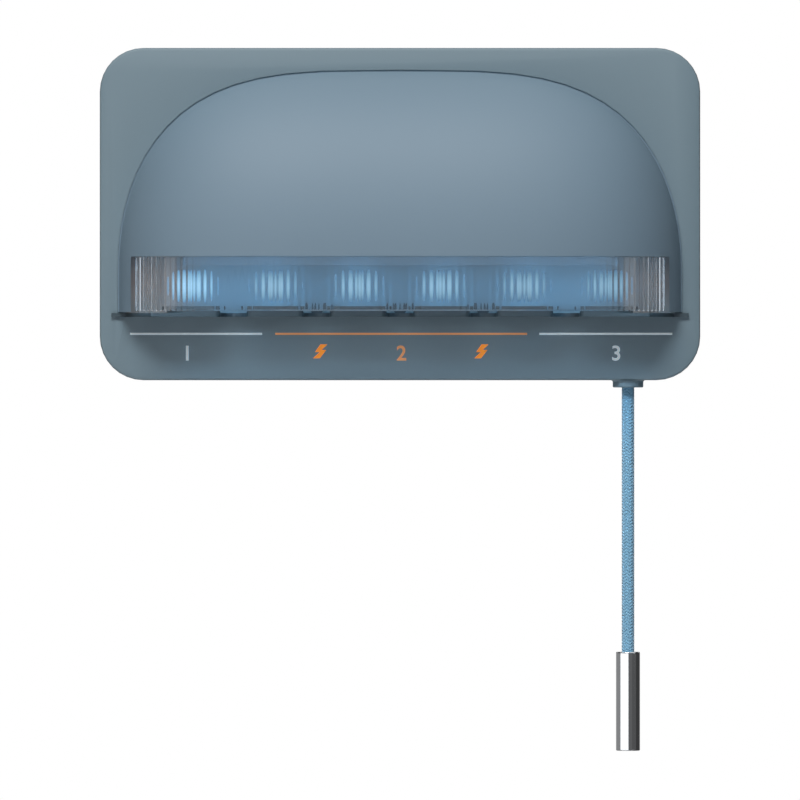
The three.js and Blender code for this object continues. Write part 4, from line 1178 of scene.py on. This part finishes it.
@dataclass
class ReturnSpring:
    """The steel coil that lifts the slider again, with a closed turn at each end."""

    node: str = "return_spring"
    joint: str = "cord_pull"
    wire: float = 0.68
    open_turns: float = 4
    closed_turns: float = 1
    closed_pitch: float = 0.74
    steps_per_turn: int = 28
    wire_sides: int = 10
    crease_degrees: float = 60

    def build(self) -> None:
        """Winds the spring in the place of its CAD node."""
        low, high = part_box(self.node)
        made = mesh_object("coil_spring", self.coil(low, high))
        piece = hang_piece(made, ZINC, Body.CASE, self.node, self.crease_degrees)
        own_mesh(piece)

    def coil(self, low: Vector, high: Vector) -> Shape:
        """Sweeps round wire along the turns.

        Args:
            low: The spring's lowest corner, in metres.
            high: Its highest corner.

        Returns:
            Points and faces.
        """
        x, y, foot = (low.x + high.x) / 2 / MM, (low.y + high.y) / 2 / MM, low.z / MM
        radius = ((high.x - low.x) / MM - self.wire) / 2
        rise = (high.z - low.z) / MM - self.wire - 2 * self.closed_turns * self.closed_pitch
        turns = self.open_turns + 2 * self.closed_turns
        steps = round(turns * self.steps_per_turn)
        points: list[Point] = []
        for i in range(steps + 1):
            turn = turns * i / steps
            opened = min(max(turn - self.closed_turns, 0), self.open_turns)
            height = foot + self.wire / 2 + (turn - opened) * self.closed_pitch
            height += opened * rise / self.open_turns
            across, deep = math.cos(FULL_TURN * turn), math.sin(FULL_TURN * turn)
            for k in range(self.wire_sides):
                angle = FULL_TURN * k / self.wire_sides
                reach = radius + self.wire / 2 * math.cos(angle)
                points.append((x + reach * across, y + reach * deep, height + self.wire / 2 * math.sin(angle)))
        return points, tube_faces(steps + 1, self.wire_sides)


@dataclass
class HoodForm:
    """The hood's form: an arch of stacked contours, straight below the spring line."""

    half_width: float = 96.3
    top: float = 48.9
    bottom: float = -33.7
    spring: float = -19.2
    rise: float = 35.5
    rim_out: float = 12.5
    width_power: float = 3.6
    height_power: float = 2.1
    rise_power: float = 1.6

    def inset(self, wall: float, bottom: float) -> "HoodForm":
        """Returns the form set in by a wall, with its own lower edge."""
        half_width, top, rise = [size - wall for size in (self.half_width, self.top, self.rise)]
        return replace(self, half_width=half_width, top=top, rise=rise, bottom=bottom)

    def contour(self, level: float, steps: int, out: float) -> list[Point]:
        """Makes one contour, from its lower right corner over the top to its lower left.

        Args:
            level: 1 at the rim, 0 at the ridge.
            steps: Steps along the arch.
            out: Its distance from the wall.

        Returns:
            Its points.
        """
        half = self.half_width * level
        arch = (self.top - self.spring) * level ** (self.width_power / self.height_power)
        middle = (self.bottom + self.spring) / 2
        line = [(half, self.bottom), (half, middle)]
        for i in range(steps + 1):
            side = math.cos(math.pi * i / steps) if i != steps // 2 else 0.0
            lift = math.sin(math.pi * i / steps) if i % steps else 0.0
            x = math.copysign(abs(side) ** (2 / self.width_power), side) if side else 0.0
            line.append((half * x, self.spring + arch * lift ** (2 / self.height_power)))
        line += [(-half, middle), (-half, self.bottom)]
        return [(x, -out, z) for x, z in line]

    def out_at(self, x: float, z: float) -> float:
        """Measures the form at a place.

        Args:
            x: Place across the hood.
            z: Place up the hood.

        Returns:
            How far from the wall the form reaches.
        """
        lift = max(0.0, (z - self.spring) / (self.top - self.spring))
        fullness = (abs(x) / self.half_width) ** self.width_power + lift**self.height_power
        return self.rim_out + self.rise * max(0.0, 1 - fullness) ** (1 / self.rise_power)

    def body(self, levels: int, steps: int, skirt: float = 0.0, ledge: Pair | None = None) -> Shape:
        """Makes a closed body of stacked contours.

        Args:
            levels: Contours from rim to ridge.
            steps: Steps along each arch.
            skirt: How far its outline is carried back past the rim.
            ledge: Width of a flat ledge round the rim, and how far out it lies.

        Returns:
            Points and faces.
        """
        rings: list[list[Point]] = []
        if skirt:
            rings.append(self.contour(1, steps, self.rim_out - skirt))
        if ledge:
            brim = 1 + ledge[0] / self.half_width
            rings += [self.contour(brim, steps, out) for out in (self.rim_out, ledge[1])]
        lowest = ledge[1] if ledge else self.rim_out
        for i in range(levels + 1):
            level = math.cos(QUARTER_TURN * i / levels) if i < levels else 0.0
            out = self.rim_out + self.rise * (1 - level**self.width_power) ** (1 / self.rise_power)
            rings.append(self.contour(level, steps, max(out, lowest)))
        count = len(rings[0])
        points = [point for ring in rings for point in ring]
        return points, [*ring_faces(len(rings), count), tuple(range(count))]

    def section(self, x: float, inset: float) -> Pair:
        """Returns the point of the level section below the spring line, pushed in along its normal.

        Args:
            x: Place across the hood.
            inset: How far it is pushed in.

        Returns:
            X and Y.
        """
        share = abs(x) / self.half_width
        rest = 1 - share**self.width_power
        out = self.rim_out + self.rise * rest ** (1 / self.rise_power)
        scale = self.rise * self.width_power / (self.rise_power * self.half_width)
        steep = scale * share ** (self.width_power - 1) * rest ** (1 / self.rise_power - 1)
        length = math.hypot(steep, 1)
        return (x - math.copysign(steep, x) / length * inset, -(out - inset / length))


@dataclass
class Hood:
    """The domed hood, as one smooth moulded shell on four screw posts."""

    form: HoodForm
    wall: float = 2.0
    overrun: float = 1.0
    ledge: Pair = (0.45, 12.6)
    window_half_width: float = 92.2
    window_top: float = -14.7
    post_radius: float = 3.0
    post_gap: float = 0.6
    post_sides: int = 24
    post_places: tuple[Pair, ...] = ((-50.1, 33.4), (50.1, 33.4), (-84.0, -4.9), (84.0, -4.9))
    seat_out: float = 13.3
    levels: int = 56
    steps: int = 128

    def build(self) -> None:
        """Carves the shell and its window, and adds the screw posts."""
        form, foot, half = self.form, self.form.bottom - self.overrun, self.window_half_width
        shell = mesh_object("hood_skin", form.body(self.levels, self.steps, ledge=self.ledge))
        tidy_mesh(shell)
        carve(shell, form.inset(self.wall, foot).body(self.levels // 2, self.steps // 2, self.overrun))
        front = form.rim_out + form.rise + self.overrun
        carve(shell, slab(rectangle(-half, foot, half, self.window_top), form.rim_out - self.overrun, front))
        hang_piece(shell, HOOD_ABS, Body.CASE, "hood")
        posts = mesh_object("hood_posts", join_shapes([self.post(x, z) for x, z in self.post_places]))
        hang_piece(posts, HOOD_ABS, Body.CASE)

    def post(self, x: float, z: float) -> Shape:
        """Makes one screw post, from the case's face to just under the hood's skin.

        Args:
            x: Its middle, across the hood.
            z: Its middle, up the hood.

        Returns:
            Points and faces.
        """
        radius, seat = self.post_radius, self.seat_out
        reach = self.form.out_at(abs(x) + radius, z + radius) - self.post_gap
        profile = [(0, seat), (radius, seat), (radius, reach), (0, reach)]
        return turned(profile, self.post_sides, lambda across, up, out: (x + across, -out, z + up))


@dataclass
class Window:
    """The clear window: smooth outside, fluted inside, with a flange that tucks up behind the hood."""

    form: HoodForm
    half_width: float = 90.6
    bottom: float = -33.4
    top: float = -15.0
    thickness: float = 2.0
    rib_depth: float = 0.17
    rib_pitch: float = 2.5
    crowding: float = 1.5
    steps_per_rib: int = 12
    edge: float = 0.45
    samples: int = 1200
    flange_half_width: float = 75.3
    flange_inset: float = 2.8
    flange_thickness: float = 1.5
    flange_bottom: float = -17.8
    flange_top: float = -8.8
    flange_steps: int = 80
    crease_degrees: float = 40

    def build(self) -> None:
        """Builds the pane and its flange as one clear piece."""
        edges = self.rib_edges()
        places: list[float] = []
        depths: list[float] = []
        for left, right in zip(edges, edges[1:]):
            for k in range(self.steps_per_rib):
                share = k / self.steps_per_rib
                places.append(left + (right - left) * share)
                depths.append(self.thickness + self.rib_depth * (1 - math.cos(FULL_TURN * share)) / 2)
        places.append(edges[-1])
        depths.append(self.thickness)
        face, toe = self.line(places, 0), self.line(places, self.edge)
        inner = [self.form.section(x, depth) for x, depth in zip(places, depths)]
        rows = [(toe, inner, self.bottom), (face, inner, self.bottom + self.edge), (face, inner, self.top)]
        steps = self.flange_steps
        across = [self.flange_half_width * (2 * i / steps - 1) for i in range(steps + 1)]
        front = self.line(across, self.flange_inset)
        back = self.line(across, self.flange_inset + self.flange_thickness)
        flange = [(front, back, height) for height in (self.flange_bottom, self.flange_top)]
        made = mesh_object("ribbed_window", join_shapes([self.band(rows), self.band(flange)]))
        hang_piece(made, LENS_PC, Body.CASE, "window_lens", self.crease_degrees)

    def rib_edges(self) -> list[float]:
        """Places the ribs' edges, which close up where the window turns away.

        Returns:
            Their places across the window.
        """
        step = 2 * self.half_width / self.samples
        places, lengths = [-self.half_width], [0.0]
        for _ in range(self.samples):
            here, there = [self.form.section(x, 0) for x in (places[-1], places[-1] + step)]
            steep = (there[1] - here[1]) / step
            places.append(places[-1] + step)
            lengths.append(lengths[-1] + step * math.hypot(1, self.crowding * steep))
        count = round(lengths[-1] / self.rib_pitch)
        edges = [-self.half_width]
        i = 0
        for rib in range(1, count):
            wanted = lengths[-1] * rib / count
            while lengths[i + 1] < wanted:
                i += 1
            edges.append(places[i] + step * (wanted - lengths[i]) / (lengths[i + 1] - lengths[i]))
        return [*edges, self.half_width]

    def line(self, places: list[float], inset: float) -> list[Pair]:
        """Returns the hood's section at some places across it, pushed in along its normal."""
        return [self.form.section(x, inset) for x in places]

    def band(self, rows: list[tuple[list[Pair], list[Pair], float]]) -> Shape:
        """Makes an upright closed band.

        Args:
            rows: From the foot up, the outer side, the inner side, point for point, and the height.

        Returns:
            Points and faces.
        """
        points: list[Point] = []
        count = len(rows[0][0])
        for i in range(count):
            points += [(*outer[i], height) for outer, _, height in rows]
            points += [(*inner[i], height) for _, inner, height in reversed(rows)]
        return points, tube_faces(count, 2 * len(rows))


@dataclass
class ChamberGlow:
    """The chamber's light: each lamp's blue glow, and the room's light that the ribs turn into the ends."""

    out: float = 29
    height: float = -24.7
    aim_height: float = -31.5
    lamp_pitch: float = 28.5
    lamp_count: int = 6
    lamp_size: float = 8
    lamp_watts: float = 0.002
    lamp_colour: str = "#86bce0"
    lamp_spread: float = 120
    outer_aim_share: float = 0.72
    end_x: float = 84
    end_out: float = 27
    end_tall: float = 14
    end_watts: Pair = (0.001, 0.0006)
    end_colour: str = "#ffb48c"

    def build(self) -> None:
        """Hangs the lights, which no camera, glossy or transmission ray sees."""
        for i in range(self.lamp_count):
            x = (i - (self.lamp_count - 1) / 2) * self.lamp_pitch
            aim_x = x if 0 < i < self.lamp_count - 1 else x * self.outer_aim_share
            place, size = (x, -self.out, self.height), self.lamp_size
            self.hang(f"lamp_glow_{i + 1}", place, aim_x, size, self.lamp_watts, self.lamp_colour)
        for name, side, watts in zip(("left_end_light", "right_end_light"), (-1, 1), self.end_watts):
            x = side * self.end_x
            self.hang(name, (x, -self.end_out, self.height), x, self.end_tall, watts, self.end_colour)

    def hang(self, name: str, place: Point, aim_x: float, tall: float, watts: float, colour: str) -> None:
        """Hangs one light in the case, which shines back at the wall.

        Args:
            name: The light's name.
            place: Where it hangs, in millimetres.
            aim_x: Where across the wall it looks.
            tall: Its height.
            watts: Its power.
            colour: Its colour.
        """
        spot = tuple(size * MM for size in place)
        aim = (aim_x * MM, 0, self.aim_height * MM)
        lamp = Softbox(name, spot, self.lamp_size * MM, tall * MM, watts, colour, aim, self.lamp_spread).build()
        for ray in ("camera", "glossy", "transmission"):
            setattr(lamp, f"visible_{ray}", False)
        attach(lamp, Body.CASE.value)


@dataclass
class ZonePrint:
    """The three printed zone bars under the hood, with plain zone numbers and two bolt signs."""

    face_out: float = 13.0
    ink: float = 0.04
    bar_height: float = 0.7
    bar_z: float = -41.1
    number_height: float = 5.0
    number_z: float = -48.0
    capital_share: float = 0.7
    boldness: float = 0.12
    bolt_x: Pair = (-27.4, 27.9)
    bolt_rise: float = 0.9
    bolt_width: float = 5.0
    bolt_height: float = 4.8
    bolt_outline: tuple[Pair, ...] = (
        (0.5, 0.5), (0.02, 0.5), (-0.36, -0.06), (-0.02, -0.06),
        (-0.5, -0.5), (-0.02, -0.5), (0.42, 0.1), (0.1, 0.1),
    )

    def build(self) -> None:
        """Prints the bars, numbers and bolts."""
        white, orange = (WHITE_INK, Slot.WHITE_INK), (ORANGE_INK, Slot.ORANGE_INK)
        zones = (
            ("left", -92.6, -47.3, "1", -73.0, white),
            ("middle", -42.8, 43.6, "2", 0.5, orange),
            ("right", 47.8, 93.4, "3", 74.2, white),
        )
        low, high = self.bar_z - self.bar_height / 2, self.bar_z + self.bar_height / 2
        for side, left, right, _, _, (ink, slot) in zones:
            self.flat(f"zone_bar_{side}", rectangle(left, low, right, high), ink)
        for side, _, _, text, x, (ink, slot) in zones:
            hang_piece(self.number(f"zone_number_{side}", text, x), ink, Body.CASE)
        middle = self.number_z + self.bolt_rise
        for side, x in zip(("left", "right"), self.bolt_x):
            outline = [(x + self.bolt_width * a, middle + self.bolt_height * b) for a, b in self.bolt_outline]
            self.flat(f"zone_bolt_{side}", outline, BOLT_INK)

    def flat(self, name: str, outline: list[Pair], ink: Finish) -> None:
        """Prints a flat outline on the case's face.

        Args:
            name: The piece's name.
            outline: Pairs of x and z.
            ink: What it is printed in.
        """
        shape = slab(outline, self.face_out - self.ink, self.face_out + self.ink)
        hang_piece(mesh_object(name, shape), ink, Body.CASE)

    def number(self, name: str, text: str, x: float) -> bpy.types.Object:
        """Makes one plain number, centred on a place.

        Args:
            name: The piece's name.
            text: The number.
            x: Its middle.

        Returns:
            The piece, undressed.
        """
        curve = bpy.data.curves.new(name, "FONT")
        curve.body = text
        curve.align_x, curve.align_y = "CENTER", "CENTER"
        curve.size = self.number_height * MM / self.capital_share
        curve.extrude = self.ink * MM
        curve.offset = self.boldness * MM
        maker = add_object(name, curve)
        bpy.context.view_layer.update()
        mesh = bpy.data.meshes.new_from_object(maker.evaluated_get(bpy.context.evaluated_depsgraph_get()))
        bpy.data.objects.remove(maker)
        mesh.name = name
        upright = Matrix.Rotation(QUARTER_TURN, 4, "X")
        mesh.transform(Matrix.Translation((x * MM, -self.face_out * MM, self.number_z * MM)) @ upright)
        return add_object(name, mesh)


@dataclass
class Screws:
    """Pan-head screws with a cross recess, seen in the rear cover and behind the face."""

    counts: tuple[tuple[str, int], ...] = (("cover_screw", 6), ("hood_screw", 4), ("rack_screw", 3))
    sides: int = 32
    dome_turns: tuple[float, ...] = (0.5, 0.8, 1.1, 1.35)
    dome_fullness: float = 0.6
    head_height_share: float = 0.62
    head_edge_share: float = 0.15
    shank_share: float = 0.48
    pitch_share: float = 0.6
    root_share: float = 0.78
    tip_share: float = 0.8
    recess_width_share: float = 0.22
    recess_reach_share: float = 0.62
    recess_depth_share: float = 0.55
    overrun: float = 1.0
    crease_degrees: float = 40

    def build(self) -> None:
        """Replaces each CAD screw by one with a rounded head and a cross recess."""
        for kind, count in self.counts:
            for i in range(1, count + 1):
                self.screw(f"{kind}_{i}")

    def screw(self, node: str) -> None:
        """Makes one screw in its CAD node's place.

        Args:
            node: The CAD node's name.
        """
        low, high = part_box(node)
        x, z = (low.x + high.x) / 2 / MM, (low.z + high.z) / 2 / MM
        back, tip = -high.y / MM, -low.y / MM
        head = (high.z - low.z) / 2 / MM
        tall = head * self.head_height_share
        seat = back + tall
        profile = [(0, back)]
        for turn in self.dome_turns:
            profile.append((head * math.sin(turn), seat - tall * math.cos(turn) ** self.dome_fullness))
        profile += [(head, seat - self.head_edge_share * tall), (head, seat), *self.thread(head, seat, tip)]
        made = mesh_object(f"pan_{node}", turned(profile, self.sides, lambda a, b, out: (x + a, -out, z + b)))
        tidy_mesh(made)
        wide, reach = head * self.recess_width_share / 2, head * self.recess_reach_share
        depth = back + tall * self.recess_depth_share
        for across, up in ((reach, wide), (wide, reach)):
            carve(made, slab(rectangle(x - across, z - up, x + across, z + up), back - self.overrun, depth))
        hang_piece(made, ZINC, Body.CASE, node, self.crease_degrees)

    def thread(self, head: float, seat: float, tip: float) -> list[Pair]:
        """Makes the shank's profile, with a notch for each turn of its thread.

        Args:
            head: The head's radius.
            seat: Where the head ends, out from the wall.
            tip: Where the screw ends.

        Returns:
            Pairs of radius and distance out.
        """
        shank = head * self.shank_share
        pitch = shank * self.pitch_share
        profile = [(shank, seat)]
        along = seat + pitch
        while along < tip - 2 * pitch:
            profile += [(shank, along), (shank * self.root_share, along + pitch / 2)]
            along += pitch
        return [*profile, (shank * self.tip_share, tip - pitch), (0, tip)]


@dataclass
class Solids:
    """The CAD solids whose own shape shows, each in its finish; the rack's dark colour is painted shade."""

    finishes: tuple[tuple[Finish, tuple[str, ...]], ...] = (
        (CASE_ABS, ("front_housing", "rear_cover")),
        (RACK_ABS_PAINTED_SHADE, ("brush_rack",)),
        (WHITE_ABS, ("chamber_ceiling",)),
        (BRIGHT_QUARTZ, ("uv_lamp_1",)),
        (LAMP_QUARTZ, ("uv_lamp_2", "uv_lamp_3", "uv_lamp_4")),
        (DIM_QUARTZ, ("uv_lamp_5", "uv_lamp_6")),
        (GREEN_BOARD, ("lamp_board", "control_board")),
        (CELL_FILM, ("battery_cell",)),
        (BLACK_ABS, ("battery_cradle", "microswitch")),
        (ZINC, ("wall_bracket", "usb_socket")),
        (FOAM, ("adhesive_pad",)),
        (ACETAL, ("pull_slider",)),
        (RED_NYLON, ("switch_plunger",)),
    )

    def build(self) -> None:
        """Dresses the solids and shades them crisply."""
        for finish, names in self.finishes:
            for name in names:
                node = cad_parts[name]
                dress(node, finish)
                node.modifiers.new("crisp_shading", "NODES").node_group = crisp_shading()
                log.info("%s is %s", name, finish.name)


def main() -> None:
    """Builds the studio and every sub-assembly, in order."""
    logging.basicConfig(level=logging.INFO, format="%(name)s: %(message)s")
    form = HoodForm()
    case = (Hood(form), Window(form), ChamberGlow(), ZonePrint(), Screws(), Solids())
    for assembly in (Studio(), PullCord(), ReturnSpring(), *case):
        assembly.build()


if __name__ == "__main__":
    main()
